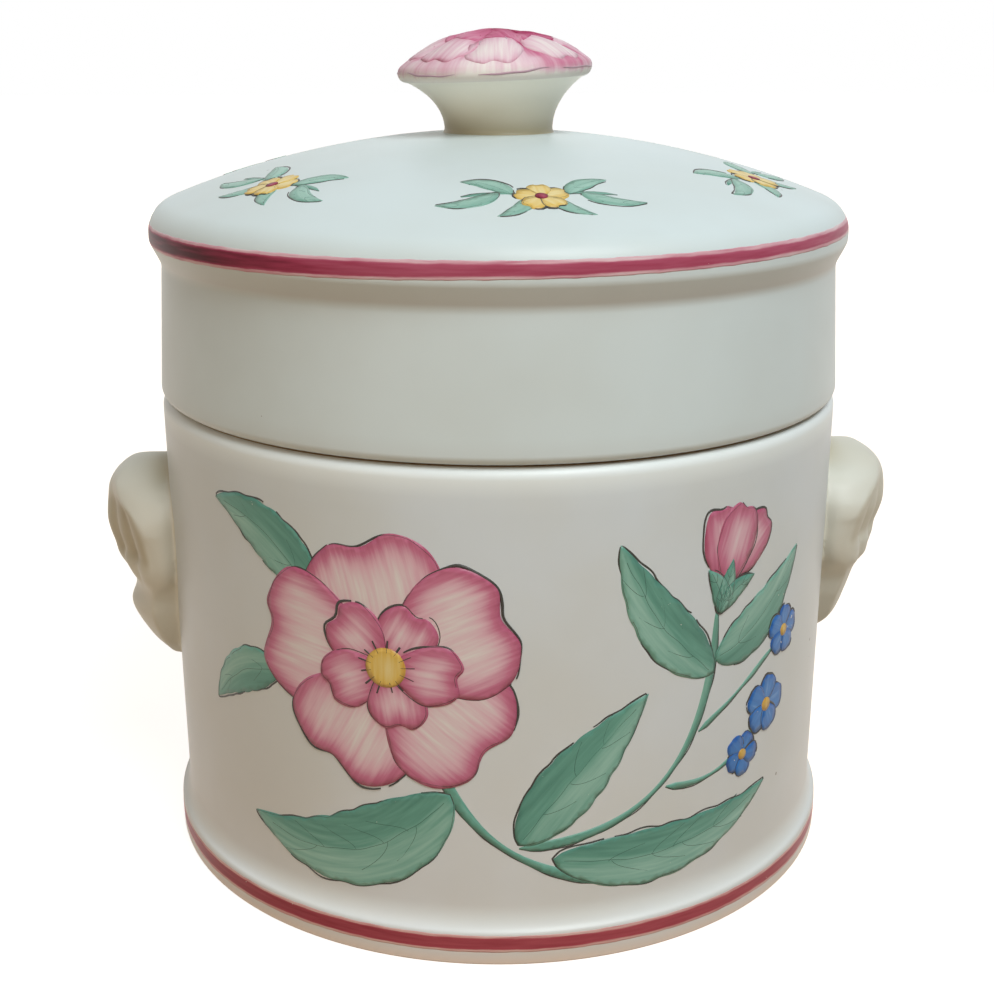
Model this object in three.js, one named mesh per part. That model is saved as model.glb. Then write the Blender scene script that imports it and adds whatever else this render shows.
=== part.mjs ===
// Lidded earthenware pot: a round pot with a moulded lug on each side, and a deep cap lid with a flower knob.
// Millimetres, +Z up, origin at the centre of the base. The lugs lie along X and the front faces -Y.

import * as THREE from "three";

// Pot body
const BODY_RADIUS = 55.0; // outside, at the shoulder just under the lid
const BODY_TAPER = 0.4; // how much slimmer the wall is where it meets the foot
const BODY_WALL = 4.6;
const SEAT_HEIGHT = 75.5; // from the table to the ledge that carries the lid
const SHOULDER_ROUND = 4.2;
const FLOOR_THICKNESS = 4.5;
const FLOOR_ROUND = 7.0;

// Foot of the pot
const FOOT_FLARE = 1.5; // how far the foot stands out from the wall
const FOOT_HEIGHT = 5.2; // upright face that carries the painted stripe
const FOOT_BEVEL = 4.0; // height of the slope from the foot back to the wall
const FOOT_EDGE_ROUND = 0.4;
const FOOT_TOP_ROUND = 0.8;
const FOOT_COVE_ROUND = 12.0;
const FOOT_RING_WIDTH = 5.8; // ring that stands on the table
const FOOT_RECESS = 2.5; // hollow under the floor, inside that ring
const FOOT_RECESS_ROUND = 1.5;

// Neck inside the lid
const NECK_HEIGHT = 12.5;
const NECK_WALL = 3.2;
const NECK_LIP_ROUND = 1.3;
const THROAT_DEPTH = 2.5; // straight stretch inside the pot below the ledge
const THROAT_SLOPE = 7.0; // height over which the inside widens below that
const THROAT_ROUND = 4.0;

// Lid
const SKIRT_PROUD = 0.15; // how far the skirt's lower edge stands out past the shoulder
const SKIRT_HEIGHT = 25.4; // lower edge to the widest line of the rim
const SKIRT_TAPER = 1.3; // how much slimmer the skirt is just under the rim
const SKIRT_WALL = 3.0;
const SKIRT_EDGE_ROUND = 0.9;
const RIM_OVERHANG = 1.65; // rim beyond the top of the skirt
const RIM_FACE = 1.2; // rim's upright face below its widest line
const RIM_UNDERCUT = 3.4; // height of the slope under that face
const RIM_ROUND = 2.2;
const RIM_COVE_ROUND = 3.0;
const DOME_RISE = 14.7; // widest line of the rim to the top of the dome
const DOME_SHOULDER_ROUND = 5.0; // where the dome turns down into the rim
const DOME_WALL = 4.0;
const LID_INNER_ROUND = 4.0;

// Knob
const KNOB_STEM_RADIUS = 8.6;
const KNOB_RADIUS = 14.95;
const KNOB_EDGE_HEIGHT = 9.3; // top of the dome to the middle of the knob's edge
const KNOB_EDGE_ROUND = 1.5;
const KNOB_CROWN = 5.7; // middle of the edge to the top
const KNOB_FULLNESS = 2.5; // 2 makes a round crown, more a flatter one
const KNOB_THROAT = 5.0; // height at which the stem starts to spread
const KNOB_PETALS = 6;
const KNOB_PETAL_RELIEF = 0.7;
const KNOB_HEART_RADIUS = 4.2;
const KNOB_HEART_RELIEF = 0.4;

// Lugs, each a fluted shell above a small boss
const LUG_BOSS_RISE = 9.8; // lower end to the boss's farthest point
const LUG_NOTCH_RISE = 3.6; // from there to the notch under the shell
const LUG_CREST_RISE = 14.8; // notch to the shell's farthest point
const LUG_LIP_RISE = 7.2; // from there to the top
const LUG_SHELL_REACH = 10.5;
const LUG_NOTCH_REACH = 7.0;
const LUG_BOSS_REACH = 7.8;
const LUG_SHELL_WIDTH = 27.0;
const LUG_TOP_WIDTH = 17.0;
const LUG_NOTCH_WIDTH = 19.5;
const LUG_BOSS_WIDTH = 17.5;
const LUG_TAIL_WIDTH = 7.0;
const LUG_ARCH = 2.6; // how far the ends of the shell's top edge drop
const LUG_FLUTES = 5;
const LUG_FLUTE_DEPTH = 1.0;
const LUG_LIP_SQUARENESS = 3.2; // 2 makes an elliptical corner, more a squarer one
const LUG_SIDE_SQUARENESS = 2.6;
const LEFT_LUG_DROP = 12.1; // ledge to the top of the lug: each was set by hand at its own height
const RIGHT_LUG_DROP = 10.9;

// Fits
const SEAT_GAP = 0.3; // lid's lower edge over the ledge
const NECK_CLEARANCE = 0.6; // skirt round the neck, all the way up
const LUTING_GAP = 0.3; // joint between a luted piece and the clay that carries it

// Fineness of the facets
const TURN_SEGMENTS = 48;
const ROUND_STEPS = 3;
const CROWN_STEPS = 7;
const LUG_COLUMNS = 20;
const LUG_STRETCH_STEPS = { tail: 5, notch: 3, shell: 6, lip: 6 };

// Glazed earthenware: cream, hard and a little uneven
const GLAZE_COLOUR = 0xdfdacd;
const FLOWER_COLOUR = 0xd8a0a8;
const GLAZE_ROUGHNESS = 0.3;

// Sizes that follow from the ones above
const footRadius = BODY_RADIUS - BODY_TAPER + FOOT_FLARE;
const floorHeight = FOOT_RECESS + FLOOR_THICKNESS;
const neckTop = SEAT_HEIGHT + NECK_HEIGHT;
const lidBase = SEAT_HEIGHT + SEAT_GAP;
const rimHeight = lidBase + SKIRT_HEIGHT;
const skirtTop = rimHeight - RIM_FACE - RIM_UNDERCUT;
const skirtRadius = BODY_RADIUS + SKIRT_PROUD;
const skirtTopRadius = skirtRadius - SKIRT_TAPER;
const rimRadius = skirtTopRadius + RIM_OVERHANG;
const domeTop = rimHeight + DOME_RISE;
const shoulderInset = rimRadius - DOME_SHOULDER_ROUND;
const domeRadius =
  (shoulderInset ** 2 + DOME_RISE ** 2 - DOME_SHOULDER_ROUND ** 2) / (2 * (DOME_RISE - DOME_SHOULDER_ROUND));
const domeCentre = domeTop - domeRadius;
const lugNotch = LUG_BOSS_RISE + LUG_NOTCH_RISE;
const lugCrest = lugNotch + LUG_CREST_RISE;
const lugHeight = lugCrest + LUG_LIP_RISE;

// Outside radius of the pot's wall at a height
function wallRadius(height) {
  const rise = height / SEAT_HEIGHT;
  return BODY_RADIUS - BODY_TAPER * (1 - rise);
}

// Inside radius of the lid's skirt at a height
function skirtInside(height) {
  const rise = (height - lidBase) / (skirtTop - lidBase);
  return skirtRadius - SKIRT_WALL - SKIRT_TAPER * rise;
}

// Height of a sphere about the dome's centre, at a distance from the axis
function sphereHeight(sphereRadius, distance) {
  return domeCentre + Math.sqrt(sphereRadius ** 2 - distance ** 2);
}

// Arc from one angle to another, both ends included, with angles counted from the +radius direction
function arcPoints(centreRadius, centreHeight, radius, from, to, steps) {
  const points = [];
  for (let step = 0; step <= steps; step++) {
    const angle = from + ((to - from) * step) / steps;
    points.push(
      new THREE.Vector2(centreRadius + radius * Math.cos(angle), centreHeight + radius * Math.sin(angle)),
    );
  }
  return points;
}

// Section line through corners of [radius, height, rounding]: a corner with a rounding becomes an arc
// that touches both its sides, no longer than half of either
function roundedLine(corners) {
  const points = [];
  corners.forEach(([radius, height, rounding = 0], index) => {
    const corner = new THREE.Vector2(radius, height);
    if (rounding === 0) {
      points.push(corner);
      return;
    }
    const toLast = new THREE.Vector2(corners[index - 1][0], corners[index - 1][1]).sub(corner);
    const toNext = new THREE.Vector2(corners[index + 1][0], corners[index + 1][1]).sub(corner);
    const half = Math.acos(toLast.dot(toNext) / (toLast.length() * toNext.length())) / 2;
    const room = Math.min(toLast.length(), toNext.length()) / 2;
    const reach = Math.min(rounding / Math.tan(half), room);
    const arcRadius = reach * Math.tan(half);
    const middle = toLast.normalize().clone().add(toNext.normalize()).normalize();
    const centre = corner.clone().addScaledVector(middle, arcRadius / Math.sin(half));
    const start = corner.clone().addScaledVector(toLast, reach).sub(centre).angle();
    const end = corner.clone().addScaledVector(toNext, reach).sub(centre).angle();
    const turn = Math.atan2(Math.sin(end - start), Math.cos(end - start));
    points.push(...arcPoints(centre.x, centre.y, arcRadius, start, start + turn, ROUND_STEPS));
  });
  return points;
}

// Solid of revolution about Z from a section that runs up the outside
function turned(section) {
  return new THREE.LatheGeometry(section, TURN_SEGMENTS).rotateX(Math.PI / 2);
}

function glazed(name, geometry, colour) {
  const finish = { color: colour, roughness: GLAZE_ROUGHNESS, metalness: 0 };
  const material = new THREE.MeshStandardMaterial(finish);
  const mesh = new THREE.Mesh(geometry, material);
  mesh.name = name;
  return mesh;
}

// Pot: from the middle of the underside, out over the foot, up the wall, over the neck and down the inside
function potBody() {
  const ringInside = footRadius - FOOT_RING_WIDTH;
  const bevelTop = FOOT_HEIGHT + FOOT_BEVEL;
  const neckBaseOutside = skirtInside(lidBase) - NECK_CLEARANCE;
  const neckTopOutside = skirtInside(neckTop) - NECK_CLEARANCE;
  const neckInside = neckTopOutside - NECK_WALL;
  const throatTop = SEAT_HEIGHT - THROAT_DEPTH;
  const throatFoot = throatTop - THROAT_SLOPE;
  return turned(
    roundedLine([
      [0, FOOT_RECESS],
      [ringInside, FOOT_RECESS, FOOT_RECESS_ROUND],
      [ringInside, 0],
      [footRadius, 0, FOOT_EDGE_ROUND],
      [footRadius, FOOT_HEIGHT, FOOT_TOP_ROUND],
      [wallRadius(bevelTop), bevelTop, FOOT_COVE_ROUND],
      [BODY_RADIUS, SEAT_HEIGHT, SHOULDER_ROUND],
      [neckBaseOutside, SEAT_HEIGHT],
      [neckTopOutside, neckTop, NECK_LIP_ROUND],
      [neckInside, neckTop, NECK_LIP_ROUND],
      [neckInside, throatTop, THROAT_ROUND],
      [wallRadius(throatFoot) - BODY_WALL, throatFoot, THROAT_ROUND],
      [wallRadius(floorHeight) - BODY_WALL, floorHeight, FLOOR_ROUND],
      [0, floorHeight],
    ]),
  );
}

// Lid: from the middle of the ceiling, down the inside of the skirt, up its outside and over the dome
function lid() {
  const ceilingRadius = domeRadius - DOME_WALL;
  const cornerRadius = skirtInside(skirtTop);
  const cornerAngle = Math.acos(cornerRadius / ceilingRadius);
  const ceiling = arcPoints(0, domeCentre, ceilingRadius, Math.PI / 2, cornerAngle, CROWN_STEPS).slice(0, -1);
  const lower = roundedLine([
    [ceiling.at(-1).x, ceiling.at(-1).y],
    [cornerRadius, sphereHeight(ceilingRadius, cornerRadius), LID_INNER_ROUND],
    [cornerRadius, skirtTop],
    [skirtInside(lidBase), lidBase],
    [skirtRadius, lidBase, SKIRT_EDGE_ROUND],
    [skirtTopRadius, skirtTop, RIM_COVE_ROUND],
    [rimRadius, rimHeight - RIM_FACE, RIM_ROUND],
    [rimRadius, rimHeight],
  ]).slice(1, -1);
  const joinAngle = Math.atan2(rimHeight - domeCentre, shoulderInset);
  const shoulder = arcPoints(shoulderInset, rimHeight, DOME_SHOULDER_ROUND, 0, joinAngle, ROUND_STEPS);
  const crown = arcPoints(0, domeCentre, domeRadius, joinAngle, Math.PI / 2, CROWN_STEPS).slice(1);
  return turned([...ceiling, ...lower, ...shoulder, ...crown]);
}

// Height of the moulded flower over the knob's plain crown: a low heart, and grooves that part the petals
function flowerRelief(distance, angle) {
  const heart = KNOB_HEART_RELIEF * Math.max(0, 1 - (distance / KNOB_HEART_RADIUS) ** 2);
  const along = (distance - KNOB_HEART_RADIUS) / (KNOB_RADIUS - KNOB_EDGE_ROUND - KNOB_HEART_RADIUS);
  const petal = Math.sin(Math.PI * THREE.MathUtils.clamp(along, 0, 1));
  const ridge = Math.cos(KNOB_PETALS * angle) / 2;
  return heart + KNOB_PETAL_RELIEF * petal * ridge;
}

// Knob: a base that follows the dome, a stem that spreads like a trumpet, a round edge and the flower
function lidKnob() {
  const seatRadius = domeRadius + LUTING_GAP;
  const edgeCentre = KNOB_RADIUS - KNOB_EDGE_ROUND;
  const edgeHeight = domeTop + KNOB_EDGE_HEIGHT;
  const stemBase = new THREE.Vector2(KNOB_STEM_RADIUS, sphereHeight(seatRadius, KNOB_STEM_RADIUS));
  const stemSpread = new THREE.Vector2(KNOB_STEM_RADIUS, domeTop + KNOB_THROAT);
  const edgeBelow = new THREE.Vector2(edgeCentre, edgeHeight - KNOB_EDGE_ROUND);
  const stem = new THREE.QuadraticBezierCurve(stemBase, stemSpread, edgeBelow).getPoints(CROWN_STEPS);
  const edge = arcPoints(edgeCentre, edgeHeight, KNOB_EDGE_ROUND, -Math.PI / 2, Math.PI / 4, ROUND_STEPS + 1);
  const crownFoot = edge.at(-1);
  const crownTop = edgeHeight + KNOB_CROWN;
  const crown = [];
  for (let step = 1; step <= CROWN_STEPS; step++) {
    const out = 1 - step / CROWN_STEPS;
    crown.push(new THREE.Vector2(crownFoot.x * out, crownTop - (crownTop - crownFoot.y) * out ** KNOB_FULLNESS));
  }
  const base = new THREE.Vector2(0, domeTop + LUTING_GAP);
  const geometry = turned([base, ...stem, ...edge.slice(1), ...crown]);
  const positions = geometry.getAttribute("position");
  for (let index = 0; index < positions.count; index++) {
    const x = positions.getX(index);
    const y = positions.getY(index);
    const z = positions.getZ(index);
    if (z > crownFoot.y) {
      positions.setZ(index, z + flowerRelief(Math.hypot(x, y), Math.atan2(y, x)));
    }
  }
  return geometry;
}

// Stations of a lug from its lower end to its top: height, reach from the wall and width, each stretch
// with its own rounding
function lugStations() {
  const { lerp } = THREE.MathUtils;
  const stations = [];
  const stretch = (steps, place) => {
    for (let step = stations.length === 0 ? 0 : 1; step <= steps; step++) {
      stations.push(place(step / steps));
    }
  };
  stretch(LUG_STRETCH_STEPS.tail, (part) => ({
    height: LUG_BOSS_RISE * part,
    reach: LUG_BOSS_REACH * Math.sin((part * Math.PI) / 2),
    width: lerp(LUG_TAIL_WIDTH, LUG_BOSS_WIDTH, part),
  }));
  stretch(LUG_STRETCH_STEPS.notch, (part) => ({
    height: lerp(LUG_BOSS_RISE, lugNotch, part),
    reach: lerp(LUG_BOSS_REACH, LUG_NOTCH_REACH, 1 - Math.cos((part * Math.PI) / 2)),
    width: lerp(LUG_BOSS_WIDTH, LUG_NOTCH_WIDTH, part),
  }));
  stretch(LUG_STRETCH_STEPS.shell, (part) => ({
    height: lerp(lugNotch, lugCrest, part),
    reach: lerp(LUG_NOTCH_REACH, LUG_SHELL_REACH, Math.sin((part * Math.PI) / 2)),
    width: lerp(LUG_NOTCH_WIDTH, LUG_SHELL_WIDTH, Math.sin((part * Math.PI) / 2)),
  }));
  stretch(LUG_STRETCH_STEPS.lip, (part) => {
    const turn = (part * Math.PI) / 2;
    const rise = part === 1 ? 1 : Math.sin(turn) ** (2 / LUG_LIP_SQUARENESS);
    return {
      height: lerp(lugCrest, lugHeight, rise),
      reach: part === 1 ? 0 : LUG_SHELL_REACH * Math.cos(turn),
      width: lerp(LUG_SHELL_WIDTH, LUG_TOP_WIDTH, rise),
    };
  });
  return stations;
}

// Lug on the +X side, with its lower end at a height: an outer face over the stations, and a back that
// follows the wall and shares its rim with the outer face
function lug(baseHeight) {
  const stations = lugStations();
  const lastRow = stations.length - 1;
  const vertices = [];
  const place = (row, column, isBack) => {
    const station = stations[row];
    const turn = (column / LUG_COLUMNS - 0.5) * Math.PI;
    const across = Math.sign(turn) * Math.abs(Math.sin(turn)) ** (2 / LUG_SIDE_SQUARENESS);
    const fullness = column % LUG_COLUMNS === 0 ? 0 : Math.cos(turn);
    const spread = THREE.MathUtils.smoothstep(station.height, lugNotch, lugCrest);
    const valley = (1 - Math.cos(Math.PI * LUG_FLUTES * (across + 1))) / 2;
    const flute = (LUG_FLUTE_DEPTH * spread * valley) / LUG_SHELL_REACH;
    const reach = station.reach * (1 - flute) * fullness;
    const height = baseHeight + station.height - LUG_ARCH * spread * across ** 2;
    const back = wallRadius(height) + LUTING_GAP;
    const angle = (across * station.width) / 2 / back;
    const distance = isBack ? back : back + reach;
    vertices.push(distance * Math.cos(angle), distance * Math.sin(angle), height);
    return vertices.length / 3 - 1;
  };
  const columns = Array.from({ length: LUG_COLUMNS + 1 }, (_, column) => column);
  const outer = stations.map((_, row) => columns.map((column) => place(row, column, false)));
  const back = outer.map((indices, row) =>
    indices.map((shared, column) => {
      const onRim = row === 0 || row === lastRow || column === 0 || column === LUG_COLUMNS;
      return onRim ? shared : place(row, column, true);
    }),
  );
  const triangles = [];
  for (let row = 0; row < lastRow; row++) {
    for (let column = 0; column < LUG_COLUMNS; column++) {
      const [a, b] = [outer[row][column], outer[row][column + 1]];
      const [c, d] = [outer[row + 1][column + 1], outer[row + 1][column]];
      triangles.push(a, b, c, a, c, d);
      const [e, f] = [back[row][column], back[row][column + 1]];
      const [g, h] = [back[row + 1][column + 1], back[row + 1][column]];
      triangles.push(e, g, f, e, h, g);
    }
  }
  const geometry = new THREE.BufferGeometry();
  geometry.setAttribute("position", new THREE.Float32BufferAttribute(vertices, 3));
  geometry.setIndex(triangles);
  geometry.computeVertexNormals();
  return geometry;
}

const rightHandle = glazed("right_handle", lug(SEAT_HEIGHT - RIGHT_LUG_DROP - lugHeight), GLAZE_COLOUR);
const leftHandle = glazed("left_handle", lug(SEAT_HEIGHT - LEFT_LUG_DROP - lugHeight), GLAZE_COLOUR);
leftHandle.rotation.z = Math.PI;

const pot = new THREE.Group();
pot.add(glazed("pot_body", potBody(), GLAZE_COLOUR), leftHandle, rightHandle);

const cover = new THREE.Group();
cover.add(glazed("lid", lid(), GLAZE_COLOUR), glazed("lid_knob", lidKnob(), FLOWER_COLOUR));

const liddedPot = new THREE.Group();
liddedPot.add(pot, cover);

export default liddedPot;
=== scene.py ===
# %% [markdown]
# # A lidded earthenware pot
# The real object is faience: buff clay under a creamy tin glaze, with two red stripes and sprays of
# flowers painted on by hand. The CAD frame already holds each piece at its true size and place. This
# lesson dresses it: finer turned forms, hand-pressed lugs, thin painted enamel, and a finish for every
# surface.

# %% Load the frame
import math
import random

import bpy
import numpy as np
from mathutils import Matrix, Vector
from mathutils.geometry import delaunay_2d_cdt


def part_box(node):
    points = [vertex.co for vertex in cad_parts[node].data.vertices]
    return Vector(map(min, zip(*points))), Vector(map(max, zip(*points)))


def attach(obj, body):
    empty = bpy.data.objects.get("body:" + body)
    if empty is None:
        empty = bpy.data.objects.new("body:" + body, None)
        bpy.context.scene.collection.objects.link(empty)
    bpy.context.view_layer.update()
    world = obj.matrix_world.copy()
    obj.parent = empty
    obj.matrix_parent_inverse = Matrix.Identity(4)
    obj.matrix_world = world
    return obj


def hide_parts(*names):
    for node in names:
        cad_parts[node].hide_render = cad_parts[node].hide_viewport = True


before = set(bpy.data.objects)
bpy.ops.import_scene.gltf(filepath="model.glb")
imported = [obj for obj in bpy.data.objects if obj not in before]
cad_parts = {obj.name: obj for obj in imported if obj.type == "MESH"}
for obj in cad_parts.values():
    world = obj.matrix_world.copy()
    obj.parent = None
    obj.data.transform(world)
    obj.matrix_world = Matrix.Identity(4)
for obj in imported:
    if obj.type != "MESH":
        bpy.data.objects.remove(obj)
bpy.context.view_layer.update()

MM = 0.001
print("CAD nodes:", ", ".join(sorted(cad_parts)))

# %% [markdown]
# ## Sizes
# Most sizes can be read off the frame's boxes, so they follow the CAD if it changes. The few that a box
# can't tell, such as the rounding of the shoulder, are written here in millimetres, as a potter would
# call them out.

# %% Sizes from the frame
def box_mm(node):
    """Lowest and highest corner of a CAD node, in millimetres."""
    low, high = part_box(node)
    return Vector(low) / MM, Vector(high) / MM


_, pot_high = box_mm("pot_body")
lid_low, lid_high = box_mm("lid")
_, knob_high = box_mm("lid_knob")
FOOT_RADIUS = pot_high.x
NECK_TOP = pot_high.z
LID_BASE = lid_low.z
RIM_RADIUS = lid_high.x
DOME_TOP = lid_high.z
KNOB_RADIUS = knob_high.x
KNOB_TOP = knob_high.z
SEAT_GAP = 0.3
SEAT = LID_BASE - SEAT_GAP
BODY_RADIUS = 55.0
BODY_TAPER = 0.4
print(f"foot {FOOT_RADIUS:.1f}, seat {SEAT:.1f}, rim {RIM_RADIUS:.1f} mm")
print(f"dome top {DOME_TOP:.1f}, knob top {KNOB_TOP:.1f} mm")


def wall_radius(height):
    """Outside of the pot's wall at a height: it draws in a little towards the foot."""
    return BODY_RADIUS - BODY_TAPER * (1 - height / SEAT)


# %% [markdown]
# ## Colours and nodes
# Shader sockets take linear light, but we choose colours as sRGB hex, as on a screen. One function turns
# the one into the other, and one more adds a node with its settings and links, for shaders and Geometry
# Nodes alike.

# %% Colour and node helpers
def linear(hex_code):
    """An sRGB hex colour as the linear RGBA that sockets take."""
    parts = [int(hex_code[i : i + 2], 16) / 255 for i in (1, 3, 5)]
    light = [p / 12.92 if p <= 0.04045 else ((p + 0.055) / 1.055) ** 2.4 for p in parts]
    return (*light, 1.0)


def add_node(tree, kind, inputs=None, **settings):
    """A new node. Each input is a value, or an output socket to link from."""
    made = tree.nodes.new(kind)
    for name, value in settings.items():
        setattr(made, name, value)
    for key, value in (inputs or {}).items():
        if isinstance(value, bpy.types.NodeSocket):
            tree.links.new(value, made.inputs[key])
        else:
            made.inputs[key].default_value = value
    return made


# A Mix node has a set of sockets for each data type: these are the places of the colour ones
FACTOR, COLOUR_A, COLOUR_B, MIXED = 0, 6, 7, 2
print("mid grey in linear light:", round(linear("#808080")[0], 3))

# %% [markdown]
# ## Tin glaze
# Tin glaze is a milky glass melted over the clay. It gives the eye a soft cream that is never quite
# even, a satin gloss that ripples, a few iron specks and a warm tint where it runs thin over an edge. A
# photograph could be wrapped round the pot, but noise on Object coordinates has no seam and keeps its
# true scale on every piece.

# %% Glaze shared by every finish
RIPPLE_MM = 11.0
RIPPLE_DEPTH_MM = 0.1
ORANGE_PEEL_MM = 1.6
PEEL_DEPTH_MM = 0.012
SATIN = 0.33  # an old glaze mirrors less of the room than clear glass, which has 0.5


def new_finish(name):
    """An empty material with a Principled shader, and the Object coordinates that patterns read."""
    material = bpy.data.materials.new(name)
    material.use_nodes = True
    tree = material.node_tree
    tree.nodes.clear()
    shader = add_node(tree, "ShaderNodeBsdfPrincipled", {"IOR": 1.5, "Specular IOR Level": SATIN})
    add_node(tree, "ShaderNodeOutputMaterial", {"Surface": shader.outputs["BSDF"]})
    place = add_node(tree, "ShaderNodeTexCoord").outputs["Object"]
    return material, tree, shader, place


def melt_glass(tree, shader, place, roughness):
    """Ripples and uneven gloss of fired glass."""
    ripple, peel = (
        add_node(tree, "ShaderNodeTexNoise", {"Vector": place, "Scale": 1 / (size * MM), "Detail": detail})
        for size, detail in ((RIPPLE_MM, 1.0), (ORANGE_PEEL_MM, 2.0))
    )
    wave = add_node(
        tree,
        "ShaderNodeBump",
        {"Height": ripple.outputs["Fac"], "Distance": RIPPLE_DEPTH_MM * MM, "Strength": 0.6},
    )
    grain = add_node(
        tree,
        "ShaderNodeBump",
        {
            "Height": peel.outputs["Fac"],
            "Distance": PEEL_DEPTH_MM * MM,
            "Strength": 0.5,
            "Normal": wave.outputs["Normal"],
        },
    )
    gloss = add_node(
        tree,
        "ShaderNodeMapRange",
        {"Value": ripple.outputs["Fac"], "To Min": roughness[0], "To Max": roughness[1]},
    )
    tree.links.new(grain.outputs["Normal"], shader.inputs["Normal"])
    tree.links.new(gloss.outputs["Result"], shader.inputs["Roughness"])


print(f"glass with ripples {RIPPLE_MM:.0f} mm apart and a grain of {ORANGE_PEEL_MM} mm")

# %% Tin glazes
CLOUD_MM = 26.0
SPECK_CELL_MM = 7.0
SPECK_RADIUS_MM = 0.28
SPECK_PICK = 0.86  # a cell has a speck if its random number is over this
SPECK_STRENGTH = 0.55
SPECK_IRON = "#6b5a45"


def tin_glaze(name, light, deep, thin="#e6cfbc", thick="#eef4f1", roughness=(0.34, 0.44)):
    """Cream glaze: clouds of two tones, tints for clay showing through, painted shade and painted highlights,
    and iron specks.
    """
    material, tree, shader, place = new_finish(name)
    cloud = add_node(
        tree, "ShaderNodeTexNoise", {"Vector": place, "Scale": 1 / (CLOUD_MM * MM), "Detail": 3.0}
    )
    share = add_node(
        tree,
        "ShaderNodeMapRange",
        {"Value": cloud.outputs["Fac"], "From Min": 0.25, "From Max": 0.75},
        interpolation_type="SMOOTHSTEP",
    )
    cream = add_node(
        tree,
        "ShaderNodeMix",
        {FACTOR: share.outputs["Result"], COLOUR_A: linear(light), COLOUR_B: linear(deep)},
        data_type="RGBA",
    )
    tone = cream.outputs[MIXED]
    for label, tint in (("thin", thin), ("thick", thick)):
        amount = add_node(tree, "ShaderNodeAttribute", attribute_name=label).outputs["Fac"]
        coat = {FACTOR: amount, COLOUR_A: tone, COLOUR_B: linear(tint)}
        tone = add_node(tree, "ShaderNodeMix", coat, data_type="RGBA").outputs[MIXED]
    cells = add_node(tree, "ShaderNodeTexVoronoi", {"Vector": place, "Scale": 1 / (SPECK_CELL_MM * MM)})
    near = add_node(
        tree,
        "ShaderNodeMath",
        {0: cells.outputs["Distance"], 1: SPECK_RADIUS_MM / SPECK_CELL_MM},
        operation="LESS_THAN",
    )
    pick = add_node(tree, "ShaderNodeSeparateColor", {"Color": cells.outputs["Color"]})
    rare = add_node(tree, "ShaderNodeMath", {0: pick.outputs["Red"], 1: SPECK_PICK}, operation="GREATER_THAN")
    both = add_node(tree, "ShaderNodeMath", {0: near.outputs[0], 1: rare.outputs[0]}, operation="MULTIPLY")
    faint = add_node(tree, "ShaderNodeMath", {0: both.outputs[0], 1: SPECK_STRENGTH}, operation="MULTIPLY")
    specked = add_node(
        tree,
        "ShaderNodeMix",
        {FACTOR: faint.outputs[0], COLOUR_A: tone, COLOUR_B: linear(SPECK_IRON)},
        data_type="RGBA",
    )
    tree.links.new(specked.outputs[MIXED], shader.inputs["Base Color"])
    melt_glass(tree, shader, place, roughness)
    return material


# A cool milky cream on the pot and, a little greener, on the lid. On the moulded lugs and knob it is
# warmer, and on the knob paler too, as painted light on its shaded stem. One tint shows warm clay where
# the glaze is thin, an olive stain behind the lugs' tops, and painted shade: warm low on the pot's wall,
# grey under the lid's rim and along its lower edge, olive in the lugs' scoops and at the knob's foot. A
# near-white tint paints highlights on the pot's shoulder and cove and under the knob's edge
pot_glaze = tin_glaze("cream_tin_glaze", "#d2dade", "#cdd2d0")
lid_glaze = tin_glaze("lid_tin_glaze", "#d1dcdc", "#ccd5d3", thin="#b8b2ad")
lug_glaze = tin_glaze("lug_tin_glaze", "#dcdcd1", "#d3cfc0", thin="#a3936a", roughness=(0.42, 0.5))
knob_glaze = tin_glaze("knob_tin_glaze", "#f0ebda", "#e7e1cf", thin="#8f8462", thick="#fffbee")
print("glazes:", pot_glaze.name, lid_glaze.name, lug_glaze.name, knob_glaze.name)

# %% [markdown]
# ## Bare clay
# A potter wipes the glaze off the ring that stands in the kiln, and off the ledge that carries the lid,
# or they would fuse to what they touch. There the buff clay shows: matt, and a little sandy.

# %% Bare clay
GRIT_MM = 0.7
GRIT_DEPTH_MM = 0.08
bare_clay, clay_tree, clay_shader, clay_place = new_finish("buff_biscuit_clay")
grit = add_node(
    clay_tree, "ShaderNodeTexNoise", {"Vector": clay_place, "Scale": 1 / (GRIT_MM * MM), "Detail": 3.0}
)
buff = add_node(
    clay_tree,
    "ShaderNodeMix",
    {FACTOR: grit.outputs["Fac"], COLOUR_A: linear("#a88f74"), COLOUR_B: linear("#c9b498")},
    data_type="RGBA",
)
sand = add_node(clay_tree, "ShaderNodeBump", {"Height": grit.outputs["Fac"], "Distance": GRIT_DEPTH_MM * MM})
clay_tree.links.new(buff.outputs[MIXED], clay_shader.inputs["Base Color"])
clay_tree.links.new(sand.outputs["Normal"], clay_shader.inputs["Normal"])
clay_shader.inputs["Roughness"].default_value = 0.85
print("clay:", bare_clay.name)

# %% [markdown]
# ## Turning on the wheel
# Pot, lid and knob are all thrown: a section line swept round the axis. The Screw modifier or Spin could
# do it. A Geometry Nodes tree does it with inputs that can be read: it lays a grid, takes each row's
# radius and height from the section's own points, turns each column about Z, and welds the seam and the
# pole.

# %% Section lines
ROUND_STEPS = 7
LONGEST_STEP = 2.5  # millimetres


def arc(centre, radius, start, end, steps=ROUND_STEPS):
    """Points of an arc about (radius, height), both ends included, with angles from the outward direction."""
    angles = np.linspace(start, end, steps + 1)
    return [(centre[0] + radius * math.cos(a), centre[1] + radius * math.sin(a)) for a in angles]


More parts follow.
